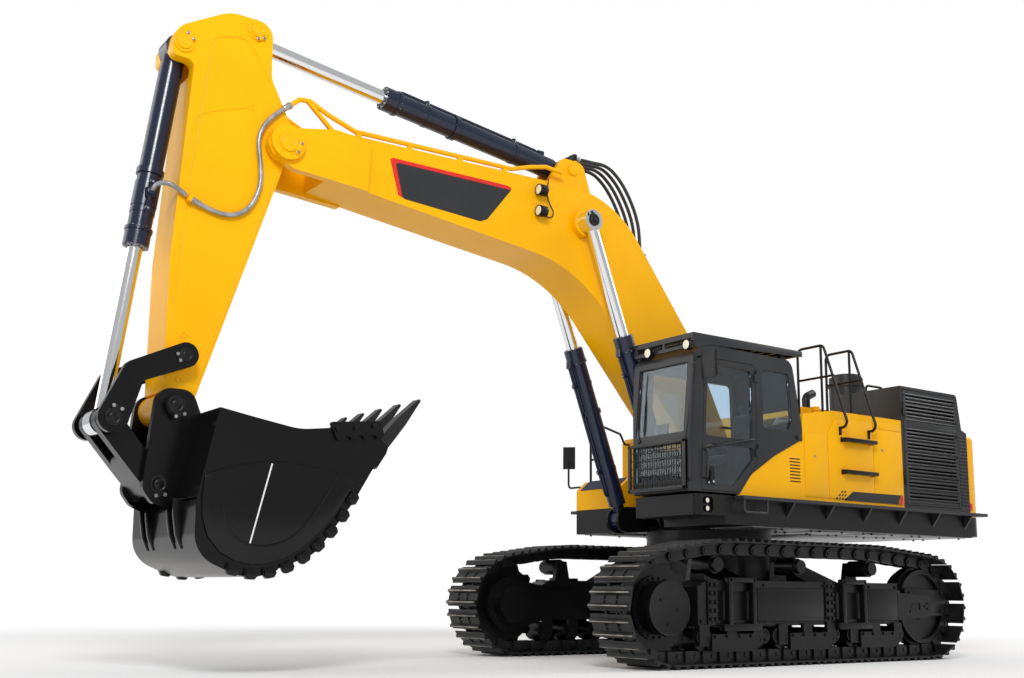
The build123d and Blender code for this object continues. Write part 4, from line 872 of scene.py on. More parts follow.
def makeSideFrames(bolt):
    bars, beams, caps, spots = [], [], [], []
    half, stackY, stackZ = sideFrame["stackHalf"], sideFrame["stackY"], sideFrame["stackZ"]
    lowest, pitch, spread, size = sideFrame["stackBolts"]
    rollerY, rollerZ, radius = sideFrame["rollerY"], sideFrame["rollerZ"], sideFrame["rollerRadius"]
    face, circle, count, small = sideFrame["rollerBolts"]
    yokeFace, yokeThick = sideFrame["yokeY"]
    for side in (-1, 1):
        out = (0, side, 0)
        for x1, x2 in sideFrame["stepsX"]:
            bars += stepBars(side, x1, x2)
        for xs in sideFrame["beamsX"]:
            beams.append(flank("beam", side, xs, sideFrame["beamY"], sideFrame["beamZ"], 0.016))
        beams.append(sidePlate("yoke", sideFrame["yoke"], side * yokeFace, side * yokeThick, 0.006))
        for x in sideFrame["stacks"]:
            beams.append(flank("stack", side, (x - half, x + half), stackY, stackZ, 0.006))
            for row in range(sideFrame["stackRows"]):
                for along in (-spread, spread):
                    spots.append((at(x + along, side * stackY[1], lowest + pitch * row), out, size))
        for x in sideFrame["rollers"]:
            cap = sideDrum("rollerCap", side, x, rollerY, rollerZ, radius)
            caps.append(dish(cap, out, sideFrame["rollerRim"], 0.005))
            spots += ringSpots(at(x, side * face, rollerZ), out, circle, count, small)
        for x in sideFrame["yokeBoltX"]:
            for z in sideFrame["yokeBoltZ"]:
                spots.append((at(x, side * (yokeFace + yokeThick), z), out, 0.016))
    settle(merge("frameSteps", bars), "undercarriage", "satin")
    settle(merge("frameBeams", beams), "undercarriage", "satin")
    settle(merge("rollerCaps", caps), "undercarriage", "satin")
    settle(scatter("frameBolts", bolt, spots), "undercarriage", "satin")


# belly plates under the platform, with their bolts

belly = {
    "z": 1.575,
    "thick": 0.008,
    "rows": ((0.88, 1.56), (-1.52, -0.88)),
    "runs": ((-3.28, -2.3), (-2.26, -1.32), (-1.28, -0.34), (-0.3, 0.84)),
    "middlePlate": ((-3.28, -1.0), (-0.84, 0.84)),
    "boltInset": 0.06,
}


def makeBellyPlates(bolt):
    plates, spots = [], []
    top, inset = belly["z"], belly["boltInset"]
    areas = [(run, row) for run in belly["runs"] for row in belly["rows"]] + [belly["middlePlate"]]
    for (x1, x2), (y1, y2) in areas:
        plates.append(slab("bellyPlate", (x1, y1, top - belly["thick"]), (x2, y2, top + 0.002), 0.003))
        for x in (x1 + inset, (x1 + x2) / 2, x2 - inset):
            for y in (y1 + inset, y2 - inset):
                spots.append((at(x, y, top - belly["thick"]), (0, 0, -1), 0.014))
    settle(merge("bellyPlates", plates), "house", "belly")
    settle(scatter("bellyBolts", bolt, spots), "house", "satin")


# left side of the house: panels, louvre, steps, band and locks

leftSide = {
    "wall": 1.62,
    "panels": (                      # outlines in X and Z
        ((-0.03, 1.96), (-0.03, 2.735), (-0.445, 2.755), (-0.445, 1.96)),
        ((-0.457, 1.96), (-0.457, 2.76), (-0.58, 2.93), (-0.75, 2.965), (-1.314, 2.965), (-1.314, 1.96)),
        ((-1.326, 1.96), (-1.326, 2.885), (-1.89, 2.885), (-1.89, 1.96)),
        ((-1.326, 2.897), (-1.326, 2.985), (-1.89, 2.985), (-1.89, 2.897)),
    ),
    "panelThick": 0.008,
    "band": ((-0.89, 2.065), (-1.843, 2.07), (-1.782, 1.95), (-0.72, 1.95)),
    "reflector": ((-1.853, 2.075), (-1.884, 2.072), (-1.886, 1.95), (-1.794, 1.95)),
    "chipRows": 3,
    "chipStart": (-0.56, 1.955),
    "chipStep": (0.055, 0.05, 0.042),            # along a row, back and up from row to row
    "chip": ((0, 0), (-0.03, 0), (-0.052, 0.026), (-0.022, 0.026)),
    "louvreX": (0.06, 0.24),
    "louvreZ": (2.115, 2.425),
    "louvreCount": 8,
    "louvreHood": 0.016,
    "stepX": (-1.296, -0.684),
    "stepY": (1.638, 1.721),
    "steps": ((2.28, 2.316), (2.68, 2.716)),
    "stepFeet": (-1.27, -0.71),
    "stepFootY": (1.625, 1.655),
    "railFeet": ((-0.688, 2.805), (-1.24, 2.8)),
    "railFootY": (1.625, 1.637),
    "railBolt": 0.034,               # above and below the rail
    "locks": ((-0.206, 2.455), (-1.497, 2.628)),
    "lockY": (1.62, 1.631),
    "knobY": (1.624, 1.638),
}


def makeLeftPanels():
    thick = leftSide["panelThick"]
    panels = [sidePlate("panel", outline, leftSide["wall"] - bite, thick + bite, 0.004)
              for outline in leftSide["panels"]]
    settle(merge("sidePanels", panels), "house", "yellow")
    proud = leftSide["wall"] + thick - bite
    settle(sidePlate("sideBand", leftSide["band"], proud, 0.0025), "house", "charcoal")
    settle(sidePlate("sideReflector", leftSide["reflector"], proud, 0.005, 0.001), "house", "red")
    chips = []
    startX, startZ = leftSide["chipStart"]
    along, back, up = leftSide["chipStep"]
    for row in range(leftSide["chipRows"]):
        for column in range(leftSide["chipRows"] + 1 - row):
            x, z = startX - along * column - back * row, startZ + up * row
            chips.append(sidePlate("chip", [(x + dx, z + dz) for dx, dz in leftSide["chip"]], proud, 0.0025))
    settle(merge("sideChips", chips), "house", "charcoal")


def makeLouvre():
    y = leftSide["wall"]
    (x1, x2), (z1, z2) = leftSide["louvreX"], leftSide["louvreZ"]
    step = (z2 - z1) / leftSide["louvreCount"]
    hoods, slits = [], []
    for i in range(leftSide["louvreCount"]):
        z = z1 + step * (i + 0.5)
        top = z + leftSide["louvreHood"]
        # a satin-black strip under each hood is painted shade, standing in for the dark opening of the louvre
        slits.append(slab("slitShade", (x1, y - 0.002, z - 0.013), (x2, y + 0.002, z + 0.002)))
        hood = sidePlate("hood", ((x1 - 0.006, z), (x2 + 0.006, z), (x2, top), (x1, top)), y - bite, 0.009)
        pickFaces(hood, lambda face: face.normal.y > 0.9)
        bpy.ops.transform.resize(value=(0.95, 1, 0.4), center_override=at((x1 + x2) / 2, y, z + 0.002))
        leaveEdit()
        hoods.append(hood)
    settle(merge("louvreHoods", hoods), "house", "yellow")
    settle(merge("louvreSlitShades", slits), "house", "satin")


def makeSideSteps(bolt):
    treads, spots = [], []
    (back, front), footY, railY = leftSide["stepX"], leftSide["stepFootY"], leftSide["railFootY"]
    for low, high in leftSide["steps"]:
        tread = flank("tread", 1, (back, front), leftSide["stepY"], (low - 0.006, high + 0.006))
        treads.append(dish(tread, (0, 0, 1), ((0.014, -0.006),), 0.004))
        for x in leftSide["stepFeet"]:
            treads.append(flank("stepFoot", 1, (x - 0.024, x + 0.024), footY, (low - 0.012, high + 0.012),
                                0.004))
    for x, z in leftSide["railFeet"]:
        treads.append(flank("railFoot", 1, (x - 0.025, x + 0.025), railY, (z - 0.05, z + 0.05), 0.004))
        for lift in (-leftSide["railBolt"], leftSide["railBolt"]):
            spots.append((at(x, railY[1], z + lift), (0, 1, 0), 0.008))
    settle(merge("sideSteps", treads), "house", "satin")
    settle(scatter("stepBolts", bolt, spots), "house", "satin")


def makeLocks():
    plates, knobs = [], []
    for x, z in leftSide["locks"]:
        lock = flank("lock", 1, (x - 0.035, x + 0.035), leftSide["lockY"], (z - 0.055, z + 0.055))
        plates.append(dish(lock, (0, 1, 0), ((0.01, -0.004),), 0.002))
        knobs.append(sideDrum("knob", 1, x, leftSide["knobY"], z, 0.017, 16, 0.003))
    settle(merge("lockPlates", plates), "house", "yellow")
    settle(merge("lockKnobs", knobs), "house", "steel")


# right-hand step box and the counterweight's reflectors

stepBox = {
    "y": (-1.5, -0.72),
    "topX": (0.75, 0.2),
    "topZ": 2.3,
    "slope": ((0.765, 2.302), (0.93, 2.168)),    # upper and lower edge in X and Z
    "panelThick": 0.004,
    "reflectorX": (-3.5, -3.42),
    "reflectorY": (1.546, 1.556),
    "reflectorZ": (1.95, 2.05),
}


def makeBoxPanel():
    (y1, y2), (x1, x2), z = stepBox["y"], stepBox["topX"], stepBox["topZ"]
    thick = stepBox["panelThick"]
    top = plate("boxTop", [at(x1, y1, z), at(x2, y1, z), at(x2, y2, z), at(x1, y2, z)], (0, 0, thick))
    (x1, z1), (x2, z2) = stepBox["slope"]
    slope = plate("boxSlope", [at(x1, y1, z1), at(x1, y2, z1), at(x2, y2, z2), at(x2, y1, z2)],
                  (0.003, 0, thick))
    settle(merge("boxPanel", [top, slope]), "house", "panelBlue")
    spans = [stepBox["reflector" + axis] for axis in "XYZ"]
    marks = [flank("reflector", side, *spans, 0.002) for side in (-1, 1)]
    settle(merge("rearReflectors", marks), "house", "red")


# right side, hood and rear: doors, grille, hinge bolts and lifting covers

rightSide = {
    "wall": -1.585,
    "doors": ((-3.32, -2.57), (-2.555, -1.8), (-1.785, -1.02)),
    "doorZ": (1.93, 2.97),
    "doorThick": 0.009,
    "cupX": (0.06, 0.13),            # from the door's rear edge
    "cupZ": (2.42, 2.56),
    "hingeZ": (2.1, 2.14, 2.76, 2.8),
    "tank": (-0.97, 0.07, 1.93, 2.92),           # X and Z of its plate
    "tankThick": 0.006,
    "grille": (-3.2, -2.7, 2.3, 2.8),
    "grilleShadeSlits": 14,
    "hoodLids": ((-2.25, -1.3, -1.1, -0.3), (-2.25, -1.3, -0.24, 0.5)),      # X and Y
    "hoodTop": 3.3,
    "lidThick": 0.012,
    "lidHandle": ((0.2, 0.0), (0.21, 0.05), (0.39, 0.05), (0.4, 0.0)),       # Y and Z from the lid's corner
    "bolt": 0.012,
}


def makeRightSide(bolt):
    wall, (low, high), size = rightSide["wall"], rightSide["doorZ"], rightSide["bolt"]
    doors, slits, spots = [], [], []
    (cupBack, cupFront), (cupLow, cupHigh) = rightSide["cupX"], rightSide["cupZ"]
    outer = wall - rightSide["doorThick"]
    for x1, x2 in rightSide["doors"]:
        doors.append(slab("sideDoor", (x1, outer, low), (x2, wall + bite, high), 0.004))
        cup = slab("doorCup", (x1 + cupBack, wall - 0.016, cupLow), (x1 + cupFront, wall - 0.005, cupHigh))
        slits.append(dish(cup, (0, -1, 0), ((0.014, -0.006),), 0.002))
        spots += [(at(x2 - 0.03, outer, z), (0, -1, 0), size) for z in rightSide["hingeZ"]]
    x1, x2, z1, z2 = rightSide["grille"]
    last = rightSide["grilleShadeSlits"] - 1
    # each satin-black strip across the door is painted shade, standing in for a dark opening of the grille
    for i in range(last + 1):
        z = z1 + (z2 - z1) * i / last
        slits.append(slab("grilleSlitShade", (x1, wall - 0.011, z - 0.008), (x2, wall - 0.006, z + 0.008), 0.002))
    x1, x2, z1, z2 = rightSide["tank"]
    outer = wall - rightSide["tankThick"]
    doors.append(slab("tankPlate", (x1, outer, z1), (x2, wall + bite, z2), 0.004))
    for x in (x1 + 0.05, x2 - 0.05):
        spots += [(at(x, outer, z), (0, -1, 0), size) for z in (z1 + 0.06, z2 - 0.06)]
    top, lidTop = rightSide["hoodTop"], rightSide["hoodTop"] + rightSide["lidThick"]
    for x1, x2, y1, y2 in rightSide["hoodLids"]:
        doors.append(slab("hoodLid", (x1, y1, top - bite), (x2, y2, lidTop), 0.005))
        route = [at(x2 - 0.1, y1 + along, top + lift) for along, lift in rightSide["lidHandle"]]
        slits.append(pipeOf("lidHandle", route, 0.009))
        spots += [(at(x1 + 0.04, y, lidTop), (0, 0, 1), size) for y in (y1 + 0.1, y2 - 0.1)]
    settle(merge("rightDoors", doors), "house", "yellow")
    settle(merge("rightTrim", slits), "house", "satin")
    settle(scatter("rightBolts", bolt, spots), "house", "satin")


rearTrim = {
    "coverX": -3.56,
    "coverY": (-0.95, 0.95),
    "coverZ": (2.985, 2.999),
    "coverRadius": 0.09,
    "coverRim": ((0.02, 0.0), (0.006, -0.006)),
    "plugX": (-3.758, -3.754),
    "plugY": (-0.76, 0.76),
    "plugZ": 1.72,
    "plugRadius": 0.06,
}


def makeRearTrim():
    x, (low, high) = rearTrim["coverX"], rearTrim["coverZ"]
    covers = []
    for y in rearTrim["coverY"]:
        cover = drum("liftCover", at(x, y, low), at(x, y, high), rearTrim["coverRadius"], 32)
        covers.append(dish(cover, (0, 0, 1), rearTrim["coverRim"], 0.003))
    (near, far), z = rearTrim["plugX"], rearTrim["plugZ"]
    plugs = [drum("rearPlug", at(near, y, z), at(far, y, z), rearTrim["plugRadius"], 28, 0.002)
             for y in rearTrim["plugY"]]
    settle(merge("liftCovers", covers), "house", "yellow")
    settle(merge("rearPlugs", plugs), "house", "satin")


# cooling door: split bar, slats, ridges and frame bolts

coolingTrim = {
    "x": (-3.126, -1.955),
    "z": (1.98, 3.45),
    "splitZ": (2.985, 3.062),
    "splitBack": 1.585,
    "frameZ": (1.964, 3.464),
    "frameBack": 1.6,
    "frameBars": ((0.014, 0.014), (1.135, 0.03)),            # middle from the door's rear edge, half width
    "boltZ": (2.03, 2.34, 2.65, 2.93, 3.12, 3.4),
    "slatPitch": 0.046,
    "slatSection": ((1.592, 0.022), (1.612, 0.016), (1.627, 0.0), (1.631, -0.018), (1.625, -0.019),
                    (1.608, 0.006), (1.592, 0.014)),
    "slatEnds": (0.026, 0.064),
    "face": 1.627,
    "ridgeX": -3.318,
    "ridgeLength": 0.176,
    "ridgeFrom": 1.99,
    "ridgeCount": 21,
    "ridgeSection": ((1.62, 0.02), (1.632, 0.006), (1.634, -0.012), (1.62, -0.018)),
}


def crossBar(name, x, section, z, length):       # a bar along X with a section in Y and Z
    return plate(name, [at(x, y, z + lift) for y, lift in section], (length, 0, 0))


def makeCoolingTrim(bolt):
    (x1, x2), (bottom, top) = coolingTrim["x"], coolingTrim["z"]
    (low, high), face, pitch = coolingTrim["splitZ"], coolingTrim["face"], coolingTrim["slatPitch"]
    splitBack, frameBack = coolingTrim["splitBack"], coolingTrim["frameBack"]
    bars = [slab("splitBar", (x1 + 0.01, splitBack, low), (x2 - 0.01, face + 0.002, high), 0.004)]
    frameLow, frameHigh = coolingTrim["frameZ"]
    for along, half in coolingTrim["frameBars"]:
        x = x1 + along
        bars.append(slab("slatFrame", (x - half, frameBack, frameLow), (x + half, face + 0.003, frameHigh),
                         0.003))
    settle(merge("coolingSplit", bars), "cooling_door", "charcoal")
    rear, front = coolingTrim["slatEnds"]
    slats = []
    for start, end in ((bottom, low), (high, top)):
        count = round((end - start) / pitch)
        for i in range(count):
            z = start + (end - start) * (i + 0.5) / count
            slats.append(crossBar("slat", x1 + rear, coolingTrim["slatSection"], z, x2 - x1 - rear - front))
    settle(merge("coolingSlats", slats), "cooling_door", "satin", 50)
    ridges = []
    for i in range(coolingTrim["ridgeCount"]):
        z = coolingTrim["ridgeFrom"] + pitch * (i + 0.5)
        ridges.append(crossBar("ridge", coolingTrim["ridgeX"], coolingTrim["ridgeSection"], z,
                               coolingTrim["ridgeLength"]))
    settle(merge("coolingRidges", ridges), "house", "satin", 50)
    spots = [(at(x, face, z), (0, 1, 0), 0.01) for z in coolingTrim["boltZ"] for x in (x2 - 0.034, x1 + 0.03)]
    settle(scatter("coolingBolts", bolt, spots), "cooling_door", "satin")


# boom: blank plate, lamps, clamps and pin caps

boomTrim = {
    "face": 0.32,
    "edgePlate": ((5.038, 5.442), (5.003, 5.463), (3.486, 5.473), (3.428, 5.461), (3.42, 5.432),
                  (3.753, 5.009), (3.847, 4.966), (4.839, 5.026), (4.926, 5.054)),
    "darkPlate": ((4.965, 5.4), (4.937, 5.421), (3.455, 5.427), (3.424, 5.424), (3.753, 5.009),
                  (3.847, 4.966), (4.839, 5.026), (4.872, 5.045)),
    "lampX": (2.972, 3.084),
    "lampY": 0.396,
    "lampZ": (5.49, 5.232),
    "lampRadius": 0.067,
    "armX": (2.974, 3.008),
    "armY": (0.318, 0.406),
    "armHalf": 0.026,
    "cableRadius": 0.007,
    "cables": (                      # to the lower and the upper lamp
        ((2.882, 0.332, 5.678), (2.9, 0.332, 5.56), (2.903, 0.332, 5.458), (2.86, 0.332, 5.36),
         (2.8, 0.332, 5.28), (2.83, 0.332, 5.2), (2.93, 0.332, 5.2), (2.98, 0.385, 5.232)),
        ((2.903, 0.332, 5.46), (2.94, 0.332, 5.45), (2.96, 0.37, 5.47), (2.985, 0.39, 5.488)),
    ),
    "clampTop": ((2.338, -0.2, 6.064), (2.392, 0.2, 6.15)),
    "clampTopBolts": (2.365, (-0.1, 0.0, 0.1)),
    "clampBack": ((1.216, -0.195, 5.024), (1.524, 0.195, 5.074)),
    "clampBackBolts": (1.42, (-0.16, -0.05, 0.05, 0.16)),
}


def makeBoomPlates():
    for side, name in ((1, "Left"), (-1, "Right")):
        face = side * boomTrim["face"]
        edge = sidePlate("boomEdge" + name, boomTrim["edgePlate"], face - side * bite, side * 0.0025)
        settle(edge, "boom", "red")
        settle(sidePlate("boomPlate" + name, boomTrim["darkPlate"], face, side * 0.003), "boom", "charcoal")


def lampCan(name, back, front, radius):      # housing with a deep bezel; returns it and its lens
    axis = (front - back).normalized()
    can = drum(name, back, front, radius, 28)
    dish(can, axis, ((radius * 0.14, 0.0), (0.001, -0.012)), radius * 0.05)
    lens = drum(name + "Lens", front - axis * 0.014, front - axis * 0.004, radius * 0.85, 28, 0.003)
    return can, lens


def makeBoomLamps():
    cans, lenses, cables = [], [], []
    back, front = boomTrim["lampX"]
    half = boomTrim["armHalf"]
    for side in (-1, 1):
        y = side * boomTrim["lampY"]
        for z in boomTrim["lampZ"]:
            can, lens = lampCan("boomLamp", at(back, y, z), at(front, y, z), boomTrim["lampRadius"])
            arm = flank("lampArm", side, boomTrim["armX"], boomTrim["armY"], (z - half, z + half), 0.003)
            cans += [can, arm]
            lenses.append(lens)
        for points in boomTrim["cables"]:
            route = [at(x, side * y, z) for x, y, z in points]
            cables.append(pipeOf("lampCable", route, boomTrim["cableRadius"]))
    settle(merge("boomLamps", cans), "boom", "satin")
    settle(merge("boomLampLenses", lenses), "boom", "lens")
    settle(merge("boomLampCables", cables), "boom", "rubber")


def makeBoomClamps(bolt):
    blocks = [slab("clampTop", *boomTrim["clampTop"], 0.006),
              slab("clampBack", *boomTrim["clampBack"], 0.005)]
    settle(merge("hoseClamps", blocks), "boom", "satin")
    spots = []
    for name in ("clampTop", "clampBack"):
        x, rows = boomTrim[name + "Bolts"]
        top = boomTrim[name][1][2]
        spots += [(at(x, y, top), (0, 0, 1), 0.012) for y in rows]
    settle(scatter("clampBolts", bolt, spots), "boom", "steel")


pinCaps = {
    "pins": (                        # name, place in X and Z, face, radius, body, finish, keeper's direction
        ("foot", (0.05, 2.4), 0.45, 0.1, "house", "satin", 60),
        ("stickPin", (6.28, 5.31), 0.44, 0.105, "boom", "yellow", 200),
        ("boomRodPin", (2.37, 5.21), 0.565, 0.075, "boom_rods", "satin", 60),
        ("stickRodPin", (6.6, 6.49), 0.274, 0.07, "stick", "yellow", 250),
        ("bucketBasePin", (7.365, 6.15), 0.274, 0.075, "stick", "yellow", 130),
        ("rockerPin", (7.213, 2.977), 0.418, 0.066, "rockers", "satin", -24),
        ("linkPin", (7.856, 2.324), 0.418, 0.08, "rockers", "satin", 110),
        ("bucketPin", (7.277, 2.494), 0.41, 0.085, "bucket", "satin", 250),
        ("bucketLinkPin", (7.378, 1.749), 0.34, 0.085, "bucket", "satin", -100),
    ),
    "proud": 0.014,
    "rims": ((0.3, 0.0), (0.08, -0.006), (0.12, 0.0), (0.08, 0.006)),        # width by the radius, depth
    "keeper": ((0.95, -0.75), (1.45, -0.75), (1.45, 0.75), (0.95, 0.75)),    # out and aside by the radius
    "keeperBolts": ((1.22, -0.5), (1.22, 0.5)),
    "keeperDepth": 0.08,
}


def makePinCaps(bolt):
    proud, depth = pinCaps["proud"], pinCaps["keeperDepth"]
    for name, place, face, radius, body, finish, aim in pinCaps["pins"]:
        spin = Matrix.Rotation(math.radians(aim), 2) * radius
        corners = [Vector(place) + spin @ Vector(corner) for corner in pinCaps["keeper"]]
        bolts = [Vector(place) + spin @ Vector(corner) for corner in pinCaps["keeperBolts"]]
        rims = [(radius * width, deep) for width, deep in pinCaps["rims"]]
        caps, spots = [], []
        for side in (-1, 1):
            cap = sideDrum(name, side, place[0], (face - 0.002, face + proud), place[1], radius, 36)
            caps.append(dish(cap, (0, side, 0), rims, 0.003))
            keeperFace, keeperThick = side * (face - depth), side * (depth + proud)
            caps.append(sidePlate(name + "Keeper", corners, keeperFace, keeperThick, 0.004))
            spots += [(at(x, side * (face + proud), z), (0, side, 0), 0.013) for x, z in bolts]
        settle(merge(name + "Caps", caps), body, finish)
        settle(scatter(name + "Bolts", bolt, spots), body, "steel")


# stick: welded plate edges, bosses and grease pipe on each side

stickTrim = {
    "face": 0.26,
    "plateEdge": ((7.301, 3.5), (7.262, 4.33), (7.212, 4.97), (7.151, 5.44), (7.105, 5.855), (7.076, 6.24),
                  (7.04, 6.3), (6.96, 6.325), (6.77, 6.37), (6.69, 6.35), (6.64, 6.29), (6.53, 6.16),
                  (6.44, 5.97)),
    "rearEdge": ((6.3, 5.06), (6.45, 4.58), (6.72, 3.72), (7.04, 2.74)),
    "grease": ((6.62, 5.656), (6.9, 5.56), (7.152, 5.458), (7.23, 5.37), (7.29, 4.9)),
    "beadRadius": 0.008,
    "proud": 0.0065,                 # the boom's pipes pass close by
    "bosses": ((6.62, 5.656), (7.2, 3.2), (7.22, 2.76)),
    "bossRadius": 0.034,
    "bossRim": ((0.016, 0.0), (0.002, -0.016)),
}


def makeStickTrim():
    face, proud = stickTrim["face"], stickTrim["proud"]
    beads = []
    for side in (-1, 1):
        for name, edge, radius in (("plateWeld", "plateEdge", stickTrim["beadRadius"]),
                                   ("rearWeld", "rearEdge", stickTrim["beadRadius"]),
                                   ("greasePipe", "grease", proud)):
            beads.append(pipeOf(name, [at(x, side * face, z) for x, z in stickTrim[edge]], radius))
        for x, z in stickTrim["bosses"]:
            boss = sideDrum("greaseBoss", side, x, (face - 0.03, face + proud), z, stickTrim["bossRadius"])
            beads.append(dish(boss, (0, side, 0), stickTrim["bossRim"], 0.003))
    settle(merge("stickWelds", beads), "stick", "yellow", 60)


# cylinders: gland bolts, bands and the oil pipe along each barrel

cylinders = {
    "boom": {
        "base": (1.064, 1.72),
        "eye": (2.37, 5.21),
        "places": (-0.485, 0.485),
        "length": 2.28,              # of the barrel, from the base pin
        "radius": 0.112,
        "body": "boom_barrels",
        "pipeSide": (1, 0, 0),
        "clamps": (0.3, 0.8),        # shares of the length
        "pipeEnds": (0.16, 0.925),
    },
    "stick": {
        "base": (2.42, 5.93),
        "eye": (6.6, 6.49),
        "places": (0.0,),
        "length": 2.58,
        "radius": 0.125,
        "body": "stick_barrel",
        "pipeSide": (0, 0, 1),
        "clamps": (0.3, 0.78),
        "pipeEnds": (0.16, 0.925),
    },
    "bucket": {
        "base": (7.365, 6.15),
        "eye": (7.856, 2.324),
        "places": (0.0,),
        "length": 2.11,
        "radius": 0.115,
        "body": "bucket_barrel",
        "pipeSide": (0, 1, 0),
        "clamps": (0.7, 0.83),
        "pipeEnds": (0.66, 0.925),
    },
}
barrelTrim = {
    "glandBolts": (0.86, 10, 0.011),             # circle by the radius, count and size
    "collarBolts": (0.006, 12, 0.008),           # circle above the radius, count and size
    "collar": 0.185,                 # back from the barrel's end
    "bandHalf": 0.022,
    "bandProud": 0.006,
    "bandWall": 0.012,
    "saddle": (0.03, 0.06),          # radius and height
    "pipeRadius": 0.019,
    "pipeLift": 0.032,
    "pipeBend": 0.04,                # share of the length
    "pipeSink": 0.02,
}


def ring(name, start, end, radius, wall):     # a clamp that lets the barrel through
    band = drum(name, start, end, radius, 32)
    axis = (end - start).normalized()
    pickFaces(band, lambda face: abs(face.normal.dot(axis)) > 0.9)
    bpy.ops.mesh.inset(thickness=wall, depth=0.0, use_individual=True)
    bpy.ops.mesh.delete(type="FACE")
    leaveEdit()
    return band


def makeCylinderTrim(bolt):
    half, (saddleRadius, saddleTop) = barrelTrim["bandHalf"], barrelTrim["saddle"]
    for name, cylinder in cylinders.items():
        length, radius = cylinder["length"], cylinder["radius"]
        first, last = cylinder["pipeEnds"]
        lift, sunk = radius + barrelTrim["pipeLift"], radius - barrelTrim["pipeSink"]
        bend = barrelTrim["pipeBend"]
        bands, pipes, spots = [], [], []
        for y in cylinder["places"]:
            start = at(cylinder["base"][0], y, cylinder["base"][1])
            axis = (at(cylinder["eye"][0], y, cylinder["eye"][1]) - start).normalized()
            out = Vector(cylinder["pipeSide"])
            out = (out - axis * out.dot(axis)).normalized()
            circle, count, size = barrelTrim["glandBolts"]
            spots += ringSpots(start + axis * length, axis, radius * circle, count, size)
            above, count, size = barrelTrim["collarBolts"]
            collar = start + axis * (length - barrelTrim["collar"])
            spots += ringSpots(collar, -axis, radius + above, count, size)
            for share in cylinder["clamps"]:
                middle = start + axis * length * share
                bands.append(ring(name + "Band", middle - axis * half, middle + axis * half,
                                  radius + barrelTrim["bandProud"], barrelTrim["bandWall"]))
                top = middle + out * (radius + saddleTop)
                foot = middle + out * (radius - 0.01)
                bands.append(drum(name + "Saddle", foot, top, saddleRadius, 8, 0.003))
                spots.append((top, out, 0.009))
            bends = ((first, sunk), (first, lift), (first + bend, lift),
                     (last - bend, lift), (last, lift), (last, sunk))
            route = [start + axis * length * share + out * height for share, height in bends]
            pipes.append(pipeOf(name + "Pipe", route, barrelTrim["pipeRadius"]))
        settle(merge(name + "Bands", bands), cylinder["body"], "barrel")
        settle(merge(name + "Pipes", pipes), cylinder["body"], "barrel")
        settle(scatter(name + "GlandBolts", bolt, spots), cylinder["body"], "steel")


# cab: guard mesh, lamps, wiper, handles and mirror faces

cab = {
    "guardFront": 1.795,
    "guardY": (0.64, 1.62),
    "guardZ": (3.6, 3.715),
    "guardCells": (36, 5),
    "roofX": (-0.01, 1.79),
    "roofZ": 3.722,
    "roofMesh": 0.5,                 # how far the mesh reaches back
    "roofCells": (16, 32),
    "wire": 0.006,
    "skirtTop": 3.724,
    "skirtX": (-0.02, 1.8),
    "skirtLow": ((1.8, 3.57), (1.74, 3.556)),
    "skirts": (("roofSkirt", 1.63, 3.61), ("roofSkirtFar", 0.618, 3.63)),    # face, low edge behind the lamps
    "skirtBend": 1.55,
    "skirtRear": 3.655,
    "frameX": (1.9, 1.934),
    "frameBars": (                   # Y and Z of the front guard's bars
        ((0.645, 1.61), (1.94, 1.985)), ((0.645, 1.61), (2.465, 2.5)),
        ((0.645, 0.685), (1.94, 2.5)), ((1.56, 1.61), (1.94, 2.5))),
    "lamps": (                       # name, back, front and radius
        ("guardLamp", (1.8, 0.925, 3.581), (1.867, 0.925, 3.581), 0.062),
        ("guardLamp", (1.8, 1.575, 3.581), (1.867, 1.575, 3.581), 0.062),
        ("skirtLamp", (1.612, 1.6, 1.74), (1.612, 1.629, 1.74), 0.034),
        ("skirtLamp", (1.612, 1.6, 1.83), (1.612, 1.629, 1.83), 0.034)),
}


def wireGrid(name, corner, along, upward, cells):
    bpy.ops.mesh.primitive_grid_add(x_subdivisions=cells[0], y_subdivisions=cells[1], size=1)
    grid = bpy.context.object
    grid.name = name
    along, upward = Vector(along), Vector(upward)
    axes = Matrix((along, upward, along.cross(upward).normalized())).transposed().to_4x4()
    grid.data.transform(Matrix.Translation(corner + (along + upward) / 2) @ axes)
    pick(grid)
    frameWire = grid.modifiers.new("wire", "WIREFRAME")
    frameWire.thickness = cab["wire"]
    frameWire.use_even_offset = False
    bpy.ops.object.modifier_apply(modifier="wire")
    return grid


def makeGuardMesh():
    (y1, y2), (z1, z2), (x1, x2), top = cab["guardY"], cab["guardZ"], cab["roofX"], cab["roofZ"]
    wide, reach = (0, y2 - y1, 0), cab["roofMesh"]
    corner = at(cab["guardFront"] - 0.012, y1, z1)
    front = wireGrid("guardFront", corner, wide, (0, 0, z2 - z1), cab["guardCells"])
    corner = at(x2 - reach - 0.02, y1, top - 0.012)
    roof = wireGrid("guardTop", corner, (reach, 0, 0), wide, cab["roofCells"])
    settle(merge("guardMesh", [front, roof]), "house", "satin")
    sheets = [slab("roofSheet", (x1, y1, top - 0.01), (x2 - reach - 0.03, y2, top - 0.002), 0.002)]
    (rear, ahead), high = cab["skirtX"], cab["skirtTop"]
    for name, y, behind in cab["skirts"]:
        outline = ((ahead, high), *cab["skirtLow"], (cab["skirtBend"], behind), (rear, cab["skirtRear"]),
                   (rear, high))
        sheets.append(sidePlate(name, outline, y, 0.01, 0.003))
    settle(merge("roofSheets", sheets), "house", "charcoal")


def makeGuardFrame():
    bars = [flank("guardBar", 1, cab["frameX"], ys, zs, 0.006) for ys, zs in cab["frameBars"]]
    settle(merge("guardFrame", bars), "house", "charcoal")


def makeCabLamps():
    pairs = [lampCan(name, at(*back), at(*front), radius) for name, back, front, radius in cab["lamps"]]
    settle(merge("cabLamps", [can for can, lens in pairs]), "house", "satin")
    settle(merge("cabLampLenses", [lens for can, lens in pairs]), "house", "lens")


